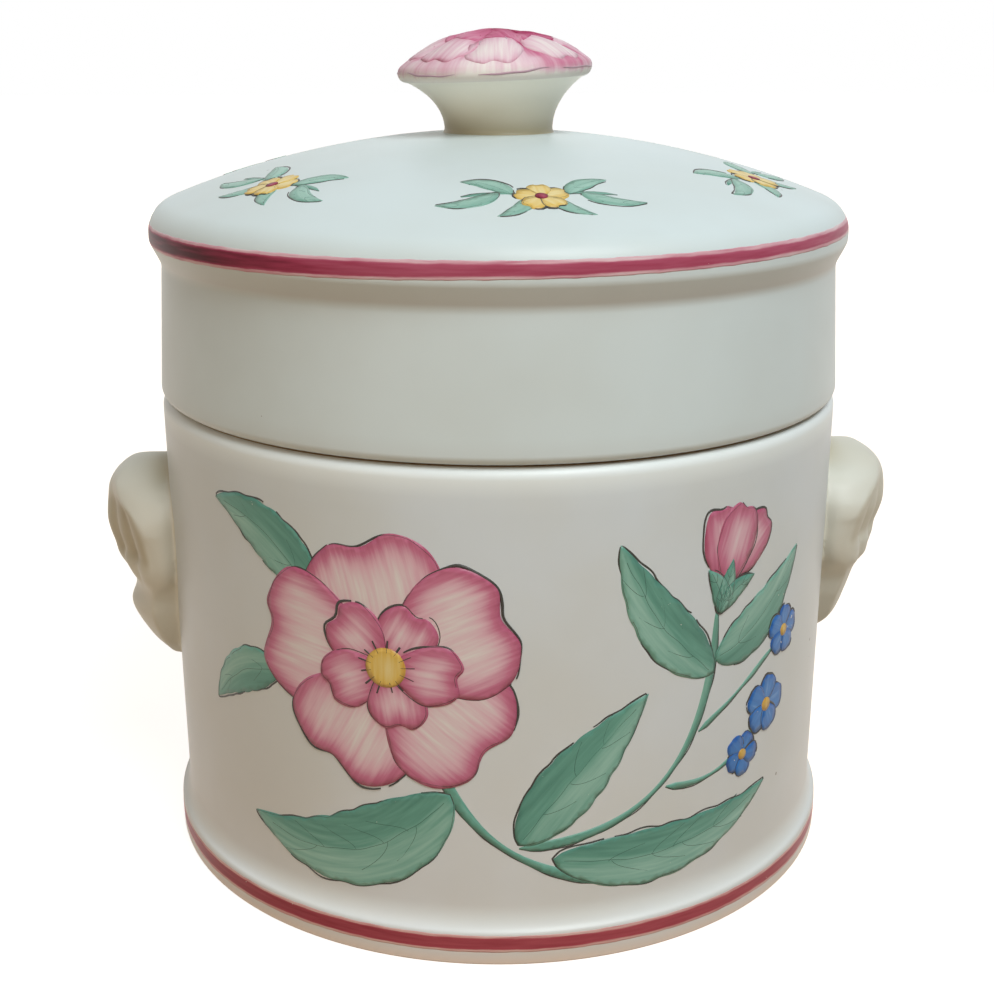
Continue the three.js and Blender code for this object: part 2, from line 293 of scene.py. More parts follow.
def rounded(corners):
    """Line through corners of (radius, height, rounding), with an arc for each rounding."""
    points = []
    for index, (r, z, *rounding) in enumerate(corners):
        if not rounding:
            points.append((r, z))
            continue
        corner = Vector((r, z))
        to_last = Vector(corners[index - 1][:2]) - corner
        to_next = Vector(corners[index + 1][:2]) - corner
        half = to_last.angle(to_next) / 2
        reach = min(rounding[0] / math.tan(half), min(to_last.length, to_next.length) / 2)
        radius = reach * math.tan(half)
        middle = (to_last.normalized() + to_next.normalized()).normalized()
        centre = corner + middle * (radius / math.sin(half))
        start = corner + to_last.normalized() * reach - centre
        end = corner + to_next.normalized() * reach - centre
        first = math.atan2(start.y, start.x)
        turn = math.remainder(math.atan2(end.y, end.x) - first, math.tau)
        points.extend(arc(centre, radius, first, first + turn))
    return points


def bezier(start, control, end, steps):
    """Points of a quadratic curve, both ends included."""
    shares = np.linspace(0, 1, steps + 1)[:, None]
    start, control, end = np.array(start), np.array(control), np.array(end)
    return (1 - shares) ** 2 * start + 2 * shares * (1 - shares) * control + shares**2 * end


def mixed(a, b, share):
    """The value that share of the way from a to b."""
    return a + (b - a) * share


def smoothstep(value, low, high):
    """0 below low, 1 above high, and a smooth rise between."""
    share = np.clip((value - low) / (high - low), 0, 1)
    return share * share * (3 - 2 * share)


def fine(points, longest):
    """The same line with no step longer than that, so that smooth shading stays true on flat stretches."""
    line = [points[0]]
    for (r0, z0), (r1, z1) in zip(points, points[1:]):
        steps = max(1, math.ceil(math.hypot(r1 - r0, z1 - z0) / longest))
        line += [(r0 + (r1 - r0) * k / steps, z0 + (z1 - z0) * k / steps) for k in range(1, steps + 1)]
    return line


print("points of a rounded corner:", ROUND_STEPS + 1)

# %% [markdown]
# A tree is made once and run on many lines. Every tree of this lesson starts with a geometry and named
# inputs, and ends the same way: smooth faces, real geometry in place of instances, and one finish. The
# result is then kept as a plain mesh, because a live modifier would not travel with the model.

# %% The turning tree
def new_tree(name, **inputs):
    """An empty Geometry Nodes tree with a geometry in and out, and named inputs of the given socket types."""
    tree = bpy.data.node_groups.new(name, "GeometryNodeTree")
    tree.interface.new_socket("Geometry", in_out="INPUT", socket_type="NodeSocketGeometry")
    for label, kind in inputs.items():
        tree.interface.new_socket(label, in_out="INPUT", socket_type=kind)
    tree.interface.new_socket("Geometry", in_out="OUTPUT", socket_type="NodeSocketGeometry")
    return tree, add_node(tree, "NodeGroupInput").outputs


def close_tree(tree, geometry, finish):
    """The end that every tree here shares: smooth faces, real geometry and one finish."""
    smooth = add_node(tree, "GeometryNodeSetShadeSmooth", {"Geometry": geometry})
    real = add_node(tree, "GeometryNodeRealizeInstances", {"Geometry": smooth.outputs[0]})
    dressed = add_node(tree, "GeometryNodeSetMaterial", {"Geometry": real.outputs[0], "Material": finish})
    add_node(tree, "NodeGroupOutput", {"Geometry": dressed.outputs[0]})


WELD_MM = 0.002
wheel, wheel_in = new_tree("turn_on_the_wheel", Segments="NodeSocketInt", Finish="NodeSocketMaterial")
counted = add_node(wheel, "GeometryNodeAttributeDomainSize", {"Geometry": wheel_in["Geometry"]})
rows = counted.outputs["Point Count"]
columns = add_node(wheel, "FunctionNodeIntegerMath", {0: wheel_in["Segments"], 1: 1}, operation="ADD")
sheet = add_node(wheel, "GeometryNodeMeshGrid", {"Vertices X": columns.outputs[0], "Vertices Y": rows})
index = add_node(wheel, "GeometryNodeInputIndex").outputs[0]
row = add_node(wheel, "FunctionNodeIntegerMath", {0: index, 1: rows}, operation="MODULO")
column = add_node(wheel, "FunctionNodeIntegerMath", {0: index, 1: rows}, operation="DIVIDE_FLOOR")
section_point = add_node(
    wheel,
    "GeometryNodeSampleIndex",
    {"Geometry": wheel_in["Geometry"], "Index": row.outputs[0]},
    data_type="FLOAT_VECTOR",
)
here = add_node(wheel, "GeometryNodeInputPosition").outputs[0]
wheel.links.new(here, section_point.inputs["Value"])
part_turn = add_node(
    wheel, "ShaderNodeMath", {0: column.outputs[0], 1: wheel_in["Segments"]}, operation="DIVIDE"
)
angle = add_node(wheel, "ShaderNodeMath", {0: part_turn.outputs[0], 1: math.tau}, operation="MULTIPLY")
turned = add_node(
    wheel,
    "ShaderNodeVectorRotate",
    {"Vector": section_point.outputs["Value"], "Angle": angle.outputs[0]},
    rotation_type="Z_AXIS",
)
thrown = add_node(
    wheel, "GeometryNodeSetPosition", {"Geometry": sheet.outputs["Mesh"], "Position": turned.outputs[0]}
)
welded = add_node(
    wheel, "GeometryNodeMergeByDistance", {"Geometry": thrown.outputs[0], "Distance": WELD_MM * MM}
)
close_tree(wheel, welded.outputs[0], wheel_in["Finish"])
print(wheel.name, "has", len(wheel.nodes), "nodes")

# %% Run a tree and keep its mesh
def grow(piece, tree, **values):
    """Runs a tree on an object and keeps the result as the object's plain mesh."""
    modifier = piece.modifiers.new(tree.name, "NODES")
    modifier.node_group = tree
    sockets = {item.name: item.identifier for item in tree.interface.items_tree if item.in_out == "INPUT"}
    for label, value in values.items():
        modifier[sockets[label]] = value
    depsgraph = bpy.context.evaluated_depsgraph_get()
    mesh = bpy.data.meshes.new_from_object(piece.evaluated_get(depsgraph), depsgraph=depsgraph)
    mesh.materials.clear()
    mesh.materials.append(values["Finish"])
    mesh.polygons.foreach_set("material_index", np.zeros(len(mesh.polygons), np.int32))
    name = piece.name
    bpy.data.objects.remove(piece)
    return new_piece(name, mesh)


def new_piece(name, mesh):
    """An object at the origin for a mesh whose place is in its vertices."""
    piece = bpy.data.objects.new(name, mesh)
    mesh.name = name
    bpy.context.scene.collection.objects.link(piece)
    return piece


def store(mesh, **values):
    """Keeps a number for each vertex under a name that a shader can read."""
    for name, numbers in values.items():
        mesh.attributes.new(name, "FLOAT", "POINT").data.foreach_set("value", np.asarray(numbers, np.float32))


def heights(piece):
    """Height of each vertex in millimetres."""
    return np.array([v.co.z for v in piece.data.vertices]) / MM


WHEEL_SEGMENTS = 192


def throw(name, section, finish, longest=LONGEST_STEP):
    """A turned piece from a section line in millimetres that runs up the outside."""
    line = fine(section, longest)
    mesh = bpy.data.meshes.new(name)
    mesh.from_pydata([(r * MM, 0, z * MM) for r, z in line], [(k, k + 1) for k in range(len(line) - 1)], [])
    piece = grow(new_piece(name, mesh), wheel, Segments=WHEEL_SEGMENTS, Finish=finish)
    print(f"{name}: {len(line)} section points, {len(piece.data.polygons)} faces")
    return piece


print("segments of a turned piece:", WHEEL_SEGMENTS)

# %% [markdown]
# ## Pot body
# A plain cylinder that flares in a cove to its foot, with a soft shoulder under the lid and a thin neck
# that the lid hides. The section runs from the middle of the underside, round the outside and down the
# inside, so that the wall has its real thickness and the pot is right when the lid is lifted.

# %% Throw the pot
LID_SKIRT_RADIUS = 55.15
LID_SKIRT_TAPER = 1.3
LID_SKIRT_WALL = 3.0
LID_SKIRT_HEIGHT = 25.4  # lower edge to the rim's widest line
LID_UNDERCUT = 4.6
RIM_HEIGHT = LID_BASE + LID_SKIRT_HEIGHT
SKIRT_TOP = RIM_HEIGHT - LID_UNDERCUT
NECK_CLEARANCE = 0.6
NECK_WALL = 3.2
POT_WALL = 4.6
POT_FLOOR = 7.0
FOOT_FACE = 5.2
FOOT_TOP = 9.2
FOOT_RECESS = 2.5
FOOT_RING = 5.8
SHOULDER_ROUND = 4.2
LIP_ROUND = 1.3
THROAT_TOP = SEAT - 2.5
THROAT_FOOT = SEAT - 9.5
THROAT_ROUND = 4.0
FLOOR_ROUND = 7.0
RING_DEPTH = 0.2
LEDGE_DEPTH = 0.05


def skirt_inside(height):
    """Inside of the lid's skirt at a height."""
    rise = (height - LID_BASE) / (SKIRT_TOP - LID_BASE)
    return LID_SKIRT_RADIUS - LID_SKIRT_WALL - LID_SKIRT_TAPER * rise


neck_foot = skirt_inside(LID_BASE) - NECK_CLEARANCE
neck_lip = skirt_inside(NECK_TOP) - NECK_CLEARANCE
underside = rounded(
    [
        (0, FOOT_RECESS),
        (FOOT_RADIUS - FOOT_RING, FOOT_RECESS, 1.5),
        (FOOT_RADIUS - FOOT_RING, 0, 0.5),
        (FOOT_RADIUS, 0, 0.4),
        (FOOT_RADIUS, FOOT_FACE - 0.5),
    ]
)
ledge = (FOOT_RADIUS - 0.35, FOOT_FACE + 0.25)
foot_lip = bezier(underside[-1], (FOOT_RADIUS, FOOT_FACE), ledge, 6)
cove = bezier(ledge, (wall_radius(FOOT_FACE), FOOT_FACE + 1.1), (wall_radius(FOOT_TOP), FOOT_TOP), 12)
upper = rounded(
    [
        tuple(cove[-1]),
        (BODY_RADIUS, SEAT, SHOULDER_ROUND),
        (neck_foot, SEAT, 0.5),
        (neck_lip, NECK_TOP, LIP_ROUND),
        (neck_lip - NECK_WALL, NECK_TOP, LIP_ROUND),
        (neck_lip - NECK_WALL, THROAT_TOP, THROAT_ROUND),
        (wall_radius(THROAT_FOOT) - POT_WALL, THROAT_FOOT, THROAT_ROUND),
        (wall_radius(POT_FLOOR) - POT_WALL, POT_FLOOR, FLOOR_ROUND),
        (0, POT_FLOOR),
    ]
)
pot_section = [*underside, *map(tuple, foot_lip[1:]), *map(tuple, cove[1:]), *upper[1:]]
pot = throw("pot", pot_section, pot_glaze)
pot.data.materials.append(bare_clay)
for face in pot.data.polygons:
    on_ring = face.center.z < RING_DEPTH * MM
    on_ledge = abs(face.center.z - SEAT * MM) < LEDGE_DEPTH * MM
    face.material_index = 1 if on_ring or on_ledge else 0

# %% [markdown]
# Glaze runs while it melts. It leaves the lowest edge thin, so that warm clay shines through. A warm
# painted shade grows towards the bottom of the wall, and painted highlights lie on the foot's cove and
# on the shoulder. Two attributes say where, and the glaze's shader reads them.

# %% Where the pot's glaze ran, and its painted light and shade
EDGE_THIN, LOW_WARM_PAINTED_SHADE, COVE_PAINTED_HIGHLIGHT, SHOULDER_PAINTED_HIGHLIGHT = 0.75, 0.22, 0.35, 0.65
pot_heights = heights(pot)
edge_thin = EDGE_THIN * (1 - smoothstep(pot_heights, 1.6, 2.8))
# Painted warm shade that grows towards the bottom of the wall
low_warm_painted_shade = LOW_WARM_PAINTED_SHADE * np.clip(1 - pot_heights / SEAT, 0, 1)
# Painted highlights: a near-white band on the foot's cove and another on the shoulder
cove_painted_highlight = smoothstep(pot_heights, FOOT_FACE - 0.5, FOOT_FACE + 0.5)
cove_painted_highlight = COVE_PAINTED_HIGHLIGHT * cove_painted_highlight * (1 - smoothstep(pot_heights, FOOT_FACE + 1.5, FOOT_TOP + 0.5))
below_shoulder = SEAT - SHOULDER_ROUND
shoulder_painted_highlight = SHOULDER_PAINTED_HIGHLIGHT * smoothstep(pot_heights, below_shoulder - 0.5, below_shoulder + 1.5)
store(pot.data, thin=np.maximum(edge_thin, low_warm_painted_shade), thick=np.maximum(cove_painted_highlight, shoulder_painted_highlight))
print(f"thin edge {edge_thin.max():.2f}, thick cove {cove_painted_highlight.max():.2f}")

# %% [markdown]
# ## Lid
# A deep cap: straight skirt, an overhanging rim that carries the stripe, and a low dome. The dome is
# part of a large sphere that a small round joins to the rim. The inside is hollow and drops over the
# pot's neck.

# %% Throw the lid
DOME_SHOULDER = 5.0
DOME_WALL = 4.0
RIM_FACE = 1.2
RIM_ROUND = 2.2
RIM_COVE_ROUND = 3.0
CEILING_ROUND = 4.0
# Strengths of the painted shade along the skirt's lower edge and under the rim
HEM_PAINTED_SHADE, UNDERCUT_PAINTED_SHADE = 0.35, 0.7
shoulder_inset = RIM_RADIUS - DOME_SHOULDER
dome_rise = DOME_TOP - RIM_HEIGHT
DOME_RADIUS = (shoulder_inset**2 + dome_rise**2 - DOME_SHOULDER**2) / (2 * (dome_rise - DOME_SHOULDER))
DOME_CENTRE = DOME_TOP - DOME_RADIUS


def dome_height(distance):
    """Height of the dome's outside at a distance from the axis."""
    return DOME_CENTRE + math.sqrt(DOME_RADIUS**2 - distance**2)


ceiling_edge = skirt_inside(SKIRT_TOP)
ceiling_angle = math.acos(ceiling_edge / (DOME_RADIUS - DOME_WALL))
ceiling = arc((0, DOME_CENTRE), DOME_RADIUS - DOME_WALL, math.pi / 2, ceiling_angle, 16)
skirt = rounded(
    [
        ceiling[-2],
        (*ceiling[-1], CEILING_ROUND),
        (ceiling_edge, SKIRT_TOP),
        (skirt_inside(LID_BASE), LID_BASE, 0.6),
        (LID_SKIRT_RADIUS, LID_BASE, 1.3),
        (LID_SKIRT_RADIUS - LID_SKIRT_TAPER, SKIRT_TOP, RIM_COVE_ROUND),
        (RIM_RADIUS, RIM_HEIGHT - RIM_FACE, RIM_ROUND),
        (RIM_RADIUS, RIM_HEIGHT),
    ]
)
join = math.atan2(RIM_HEIGHT - DOME_CENTRE, shoulder_inset)
shoulder = arc((shoulder_inset, RIM_HEIGHT), DOME_SHOULDER, 0, join, 12)
crown = arc((0, DOME_CENTRE), DOME_RADIUS, join, math.pi / 2, 28)
lid_section = [*ceiling[:-2], *skirt[:-1], *shoulder, *crown[1:]]
lid = throw("lid_cap", lid_section, lid_glaze)
lid.data.materials.append(bare_clay)
for face in lid.data.polygons:
    face.material_index = 1 if face.center.z < (LID_BASE + LEDGE_DEPTH) * MM else 0
lid_heights = heights(lid)
# Painted shade: a grey band along the skirt's lower edge and another under the overhanging rim
hem_painted_shade = HEM_PAINTED_SHADE * np.exp(-(((lid_heights - LID_BASE) / 1.1) ** 2))
undercut_painted_shade = UNDERCUT_PAINTED_SHADE * np.exp(-(((lid_heights - RIM_HEIGHT + 3.0) / 1.4) ** 2))
store(lid.data, thin=hem_painted_shade + undercut_painted_shade)

# %% [markdown]
# ## Painted enamel
# The stripes and flowers are coloured glass, brushed on and fired. It lies on the glaze as a skin thin
# enough to feel with a fingernail, so here it is thin geometry too. Each skin carries its own
# attributes: how strong the colour is, and where the brush was along and across the stroke, in
# millimetres. The shader turns those into streaks.

# %% Enamel finishes
STREAK_WIDTH_MM = 0.7
STREAK_LENGTH_MM = 9.0
FLECK_MM = 0.8
WORN_GLAZE = "#d8d5cb"
STRIPE_SATIN = 0.08  # iron reds fire duller than the other colours


def enamel(name, stops, streak, bare, satin=SATIN, roughness=(0.32, 0.4)):
    """Brushed glass colour. stops run from little paint to full, bare is the share of flecks worn off it."""
    material, tree, shader, place = new_finish(name)
    shader.inputs["Specular IOR Level"].default_value = satin
    read = {
        label: add_node(tree, "ShaderNodeAttribute", attribute_name=label).outputs["Fac"]
        for label in ("strength", "along", "across", "brush")
    }
    down = add_node(tree, "ShaderNodeMath", {0: read["along"], 1: 1 / STREAK_LENGTH_MM}, operation="MULTIPLY")
    side = add_node(tree, "ShaderNodeMath", {0: read["across"], 1: 1 / STREAK_WIDTH_MM}, operation="MULTIPLY")
    stroke = add_node(
        tree, "ShaderNodeCombineXYZ", {"X": side.outputs[0], "Y": down.outputs[0], "Z": read["brush"]}
    )
    hairs = add_node(tree, "ShaderNodeTexNoise", {"Vector": stroke.outputs[0], "Scale": 1.0, "Detail": 3.0})
    uneven = add_node(
        tree,
        "ShaderNodeMapRange",
        {
            "Value": hairs.outputs["Fac"],
            "From Min": 0.25,
            "From Max": 0.75,
            "To Min": -streak,
            "To Max": streak,
        },
    )
    amount = add_node(tree, "ShaderNodeMath", {0: read["strength"], 1: uneven.outputs[0]}, operation="ADD")
    ramp = add_node(tree, "ShaderNodeValToRGB", {"Fac": amount.outputs[0]})
    while len(ramp.color_ramp.elements) < len(stops):
        ramp.color_ramp.elements.new(0.5)
    for element, (position, colour) in zip(ramp.color_ramp.elements, stops):
        element.position = position
        element.color = linear(colour)
    wear = add_node(
        tree, "ShaderNodeTexNoise", {"Vector": place, "Scale": 1 / (FLECK_MM * MM), "Detail": 2.0}
    )
    fleck = add_node(tree, "ShaderNodeMath", {0: wear.outputs["Fac"], 1: 1 - bare}, operation="GREATER_THAN")
    worn = add_node(
        tree,
        "ShaderNodeMix",
        {FACTOR: fleck.outputs[0], COLOUR_A: ramp.outputs["Color"], COLOUR_B: linear(WORN_GLAZE)},
        data_type="RGBA",
    )
    tree.links.new(worn.outputs[MIXED], shader.inputs["Base Color"])
    melt_glass(tree, shader, place, roughness)
    return material


print(f"brush streaks {STREAK_WIDTH_MM} mm wide and {STREAK_LENGTH_MM:.0f} mm long")

# %% Mix the enamels
# Iron and gold reds fire dull: nearly black where the brush was full, pink where it ran dry
rim_red = enamel(
    "crimson_stripe_enamel",
    [(0.0, "#d9c6c7"), (0.15, "#d2a0a9"), (0.36, "#ae576d"), (0.65, "#9a3b52"), (1.0, "#4c1019")],
    streak=0.16,
    bare=0.22,
    satin=STRIPE_SATIN,
)
foot_red = enamel(
    "iron_red_stripe_enamel",
    [(0.0, "#dcc6bd"), (0.15, "#d39f9b"), (0.36, "#ae525b"), (0.65, "#973e48"), (1.0, "#721a22")],
    streak=0.16,
    bare=0.22,
    satin=STRIPE_SATIN,
)
# Rose pink is crimson where it lies thick and nearly white where it is thin
petal_pink = enamel(
    "rose_pink_enamel",
    [(0.0, "#dfdad4"), (0.3, "#d8aeb8"), (0.6, "#c0708a"), (1.0, "#9a3556")],
    streak=0.13,
    bare=0.2,
)
# Copper green and cobalt blue flow a little in the kiln, so their strokes stay soft
leaf_green = enamel(
    "copper_green_enamel", [(0.0, "#94bcac"), (0.5, "#5f9583"), (1.0, "#3a7060")], streak=0.19, bare=0.22
)
bud_blue = enamel(
    "cobalt_blue_enamel", [(0.0, "#8fb2d2"), (0.45, "#2f78bd"), (1.0, "#1b4f95")], streak=0.22, bare=0.26
)
# Antimony yellow covers well and hardly shades
heart_yellow = enamel(
    "antimony_yellow_enamel",
    [(0.0, "#e3d39a"), (0.5, "#d9b65a"), (1.0, "#b98834")],
    streak=0.25,
    bare=0.2,
)
# Drawn lines: brown-black manganese, strong green for veins, and a thin mauve on the knob
line_brown = enamel(
    "manganese_line_enamel", [(0.0, "#4a463c"), (1.0, "#262521")], streak=0.1, bare=0.2
)
vein_green = enamel(
    "dark_green_line_enamel", [(0.0, "#325b4c"), (1.0, "#14332a")], streak=0.2, bare=0.2
)
line_mauve = enamel(
    "mauve_line_enamel", [(0.0, "#d9c6cc"), (0.6, "#c0a0ab"), (1.0, "#9a7986")], streak=0.3, bare=0.2
)
# A thin matt wash of rose over the knob's flower
knob_pink = enamel(
    "rose_wash_enamel",
    [(0.0, "#efe9e2"), (0.25, "#dfbcc6"), (0.55, "#c56f8d"), (0.8, "#a83a62"), (1.0, "#8c1f46")],
    streak=0.13,
    bare=0.2,
    satin=0.1,
    roughness=(0.5, 0.6),
)
print("enamels:", ", ".join(m.name for m in bpy.data.materials if m.name.endswith("enamel")))

# %% [markdown]
# ## Knob
# A trumpet-shaped stem luted to the dome, with a pressed flower on top: two rings of petals round a low
# heart. The stem is thrown like the rest, and a rule of angle and distance lifts the crown's vertices
# into petals. The flower was set a little askew by hand, so the top is tilted by a few degrees.

# %% Throw the knob
KNOB_STEM = 8.6
KNOB_EDGE = DOME_TOP + 9.3
KNOB_EDGE_ROUND = 1.5
KNOB_FULLNESS = 2.5  # 2 makes a round crown, more a flatter one
KNOB_PETALS = 8
KNOB_INNER_PETALS = 5
KNOB_HEART = 4.2
KNOB_HEART_RISE = 0.4
PETAL_RISE = 0.2
PETAL_GROOVE = 0.4
INNER_RISE = 0.25
INNER_RING = 5.2
KNOB_TILT = math.radians(2.6)
KNOB_SPREAD = 0.4  # the hand-made edge is a little wider than the CAD's
KNOB_LEAN = 0.6  # and sits a little to the left
SLIP_FLARE = 0.4
KNOB_STEP = 0.6  # fine enough for the petals' relief
edge_inset = KNOB_RADIUS + KNOB_SPREAD - KNOB_EDGE_ROUND
crown_top = KNOB_TOP - KNOB_HEART_RISE

stem_foot = (KNOB_STEM + SLIP_FLARE, dome_height(KNOB_STEM + SLIP_FLARE) - 0.1)
slip = bezier(stem_foot, (KNOB_STEM, DOME_TOP - 0.2), (KNOB_STEM, DOME_TOP + 0.5), 5)
trumpet = bezier(slip[-1], (KNOB_STEM + 0.3, DOME_TOP + 4.7), (edge_inset, KNOB_EDGE - KNOB_EDGE_ROUND), 20)
knob_edge = arc((edge_inset, KNOB_EDGE), KNOB_EDGE_ROUND, -math.pi / 2, math.pi / 4, 10)
crown_foot = knob_edge[-1]
shares = np.linspace(1, 0, 41)
crown_heights = crown_top - (crown_top - crown_foot[1]) * shares**KNOB_FULLNESS
knob_top_line = [*knob_edge, *zip(crown_foot[0] * shares[1:], crown_heights[1:])]
knob_section = [(0, DOME_TOP - 0.6), *map(tuple, slip), *map(tuple, trumpet[1:]), *knob_top_line[1:]]
knob = throw("knob", knob_section, knob_glaze, longest=KNOB_STEP)

# %% Press the knob's flower
def petal_lift(distance, turn):
    """Height of the pressed flower over the plain crown, and how deep the groove between petals is."""
    along = np.clip((distance - KNOB_HEART) / (edge_inset - KNOB_HEART), 0, 1)
    ridge = np.cos(KNOB_PETALS * turn)
    groove = np.exp(-(((1 + ridge) / 0.25) ** 2)) * np.sin(math.pi * along) ** 0.5
    inner = np.cos(KNOB_INNER_PETALS * turn + 0.7) * np.exp(-(((distance - INNER_RING) / 1.6) ** 2))
    heart = np.clip(1 - (distance / KNOB_HEART) ** 2, 0, 1)
    lift = KNOB_HEART_RISE * heart + PETAL_RISE * np.sin(math.pi * along) * ridge
    lift = lift - PETAL_GROOVE * groove + INNER_RISE * inner
    return lift * (distance < crown_foot[0]), groove


def askew(x, y, z):
    """How far a point of the knob moved when it was set: to the left, and up or down at the edge."""
    to_left = -KNOB_LEAN * smoothstep(z, DOME_TOP, KNOB_EDGE)
    near_edge = smoothstep(np.hypot(x, y), 3, 12) * smoothstep(z, DOME_TOP + 3, KNOB_EDGE)
    return to_left, math.tan(KNOB_TILT) * x * near_edge


knob_points = np.array([v.co for v in knob.data.vertices]) / MM
knob_reach = np.hypot(knob_points[:, 0], knob_points[:, 1])
knob_turn = np.arctan2(knob_points[:, 1], knob_points[:, 0])
knob_heights = knob_points[:, 2].copy()
lift, groove = petal_lift(knob_reach, knob_turn)
to_left, tilted = askew(*knob_points.T)
knob_points[:, 0] += to_left
knob_points[:, 2] += np.where(knob_heights > crown_foot[1] - 1e-3, lift, 0) + tilted
knob.data.vertices.foreach_set("co", (knob_points * MM).astype(np.float32).ravel())
print(f"knob top {knob_points[:, 2].max():.2f} mm, CAD {KNOB_TOP:.2f} mm")

# %% [markdown]
# The flower has a wash of pink that fades out over the knob's edge, so faces above the edge take the
# pink enamel and an attribute lets its strength fall to nothing there. The wash is darker in the grooves,
# a painted shade. The stem has a painted olive shade at its foot and a painted highlight under the edge.

# %% Wash the knob with pink
STROKE_MM = 9  # width of a radian of the crown, for the streaks
patchy = 0.14 * np.sin(2 * knob_turn + 2.4) + 0.08 * np.sin(5 * knob_turn)
# The wash is stronger in the grooves between petals: painted shade
wash = 0.3 + patchy + 0.5 * np.exp(-((knob_reach / 6.0) ** 2)) + 0.3 * groove
over_edge = smoothstep(knob_heights, KNOB_EDGE - 1.4, KNOB_EDGE + 0.8)
wash = mixed(-0.15, wash, over_edge)
# Painted olive shade at the stem's foot, and a painted highlight on the stem under the edge
stem_foot_painted_shade = 0.85 * np.exp(-(((knob_heights - DOME_TOP + 0.5) / 2.8) ** 2))
lip_painted_highlight = smoothstep(knob_heights, DOME_TOP + 2.5, KNOB_EDGE - 2)
store(knob.data, strength=wash, along=knob_reach, across=knob_turn * STROKE_MM, brush=np.floor(knob_turn * 2))
store(knob.data, thin=stem_foot_painted_shade, thick=lip_painted_highlight)
knob.data.materials.append(knob_pink)
for face in knob.data.polygons:
    face.material_index = 1 if knob_heights[list(face.vertices)].min() > KNOB_EDGE - 1.45 else 0
print("washed faces:", sum(face.material_index for face in knob.data.polygons))

# %% [markdown]
# ## Lugs
# Each lug is a shell: a broad top for the thumb over a hollow, fluted front and a small boss, pressed in
# a mould and stuck on with slip, the potter's wet clay. A subdivision cage could make it, but the shape
# follows a rule: stations from the lower end to the top, each with a reach and a width. A voxel remesh
# with a few smoothing passes melts the shell into a thin plate just under the wall's face, so that the
# joint is soft, as under a thick glaze.

# %% Stations of a lug
lug_low, lug_high = box_mm("right_handle")
LUG_HEIGHT = lug_high.z - lug_low.z
LUG_NOTCH = 13.2
LUG_RIDGE = 24.0
# From the lower end up: height, reach of the left lug and of the right one, half width, and the ridge
# that parts the cheek from the scooped front, as a share of the reach and of the half width
LUG_PROFILE = [
    (0.0, 1.5, 0.2, 1.3, 0.5, 1.0),
    (0.8, 2.6, 0.8, 2.9, 0.5, 1.0),
    (1.9, 3.6, 2.1, 4.1, 0.5, 1.0),
    (4.6, 5.8, 5.1, 6.4, 0.5, 1.0),
    (9.6, 8.3, 6.8, 8.8, 0.5, 1.0),
    (LUG_NOTCH, 7.3, 7.7, 9.8, 0.56, 1.0),
    (16.4, 7.6, 9.0, 11.6, 0.48, 1.0),
    (18.6, 8.8, 9.6, 12.6, 0.4, 1.0),
    (21.0, 9.9, 10.4, 13.1, 0.36, 1.0),
    (LUG_RIDGE, 10.8, 11.5, 13.3, 0.38, 1.0),
    (26.0, 11.0, 11.9, 13.4, 0.42, 1.0),
    (29.0, 10.8, 11.9, 13.4, 0.55, 0.9),
    (31.0, 10.4, 11.3, 13.1, 0.74, 0.7),
    (33.0, 9.2, 9.9, 12.2, 0.93, 0.5),
    (34.4, 7.5, 8.0, 10.6, 1.0, 0.4),
    (35.1, 5.4, 6.0, 9.2, 1.0, 0.4),
    (LUG_HEIGHT, 0.0, 0.0, 7.5, 1.0, 0.4),
]
LEFT, RIGHT = -1, 1
STATION_STEPS = 6


def smooth_span(p0, p1, p2, p3, steps):
    """Points of a smooth line from p1 to just before p2, on its way from p0 to p3 (Catmull-Rom)."""
    shares = np.linspace(0, 1, steps, endpoint=False)[:, None]
    bend = 2 * p0 - 5 * p1 + 4 * p2 - p3
    twist = -p0 + 3 * p1 - 3 * p2 + p3
    return 0.5 * (2 * p1 + (p2 - p0) * shares + bend * shares**2 + twist * shares**3)


def through(knots, steps):
    """A smooth open line through knots of any size."""
    knots = np.array(knots, float)
    ends = np.concatenate([[2 * knots[0] - knots[1]], knots, [2 * knots[-1] - knots[-2]]])
    spans = [smooth_span(*four, steps) for four in zip(ends, ends[1:], ends[2:], ends[3:])]
    return np.concatenate([*spans, knots[-1:]])


print(f"lug {LUG_HEIGHT:.1f} mm tall with {len(through(LUG_PROFILE, STATION_STEPS))} stations")

# %% Surface of a lug
CHEEK_STEPS = 20
FACE_STEPS = 24
KEEL = 1.5  # 1 gives a sharp keel, 2 a round one
CHEEK_BULGE = 0.6
SCOOP_DEPTH = 1.0
FLUTE_DEPTH = 0.75
FRONT_FLUTES = 3
EDGE_DROOP = 2.6
SCOOP_FOOT = (19, 21.5)
SCOOP_TOP = (28.5, 33)


def wall_grid(side, across, up, out):
    """Points beside the wall: millimetres round it, height, and distance from its face."""
    wall = wall_radius(up)
    angle = across / wall
    return np.stack([side * (wall + out) * np.cos(angle), side * (wall + out) * np.sin(angle), up], -1)


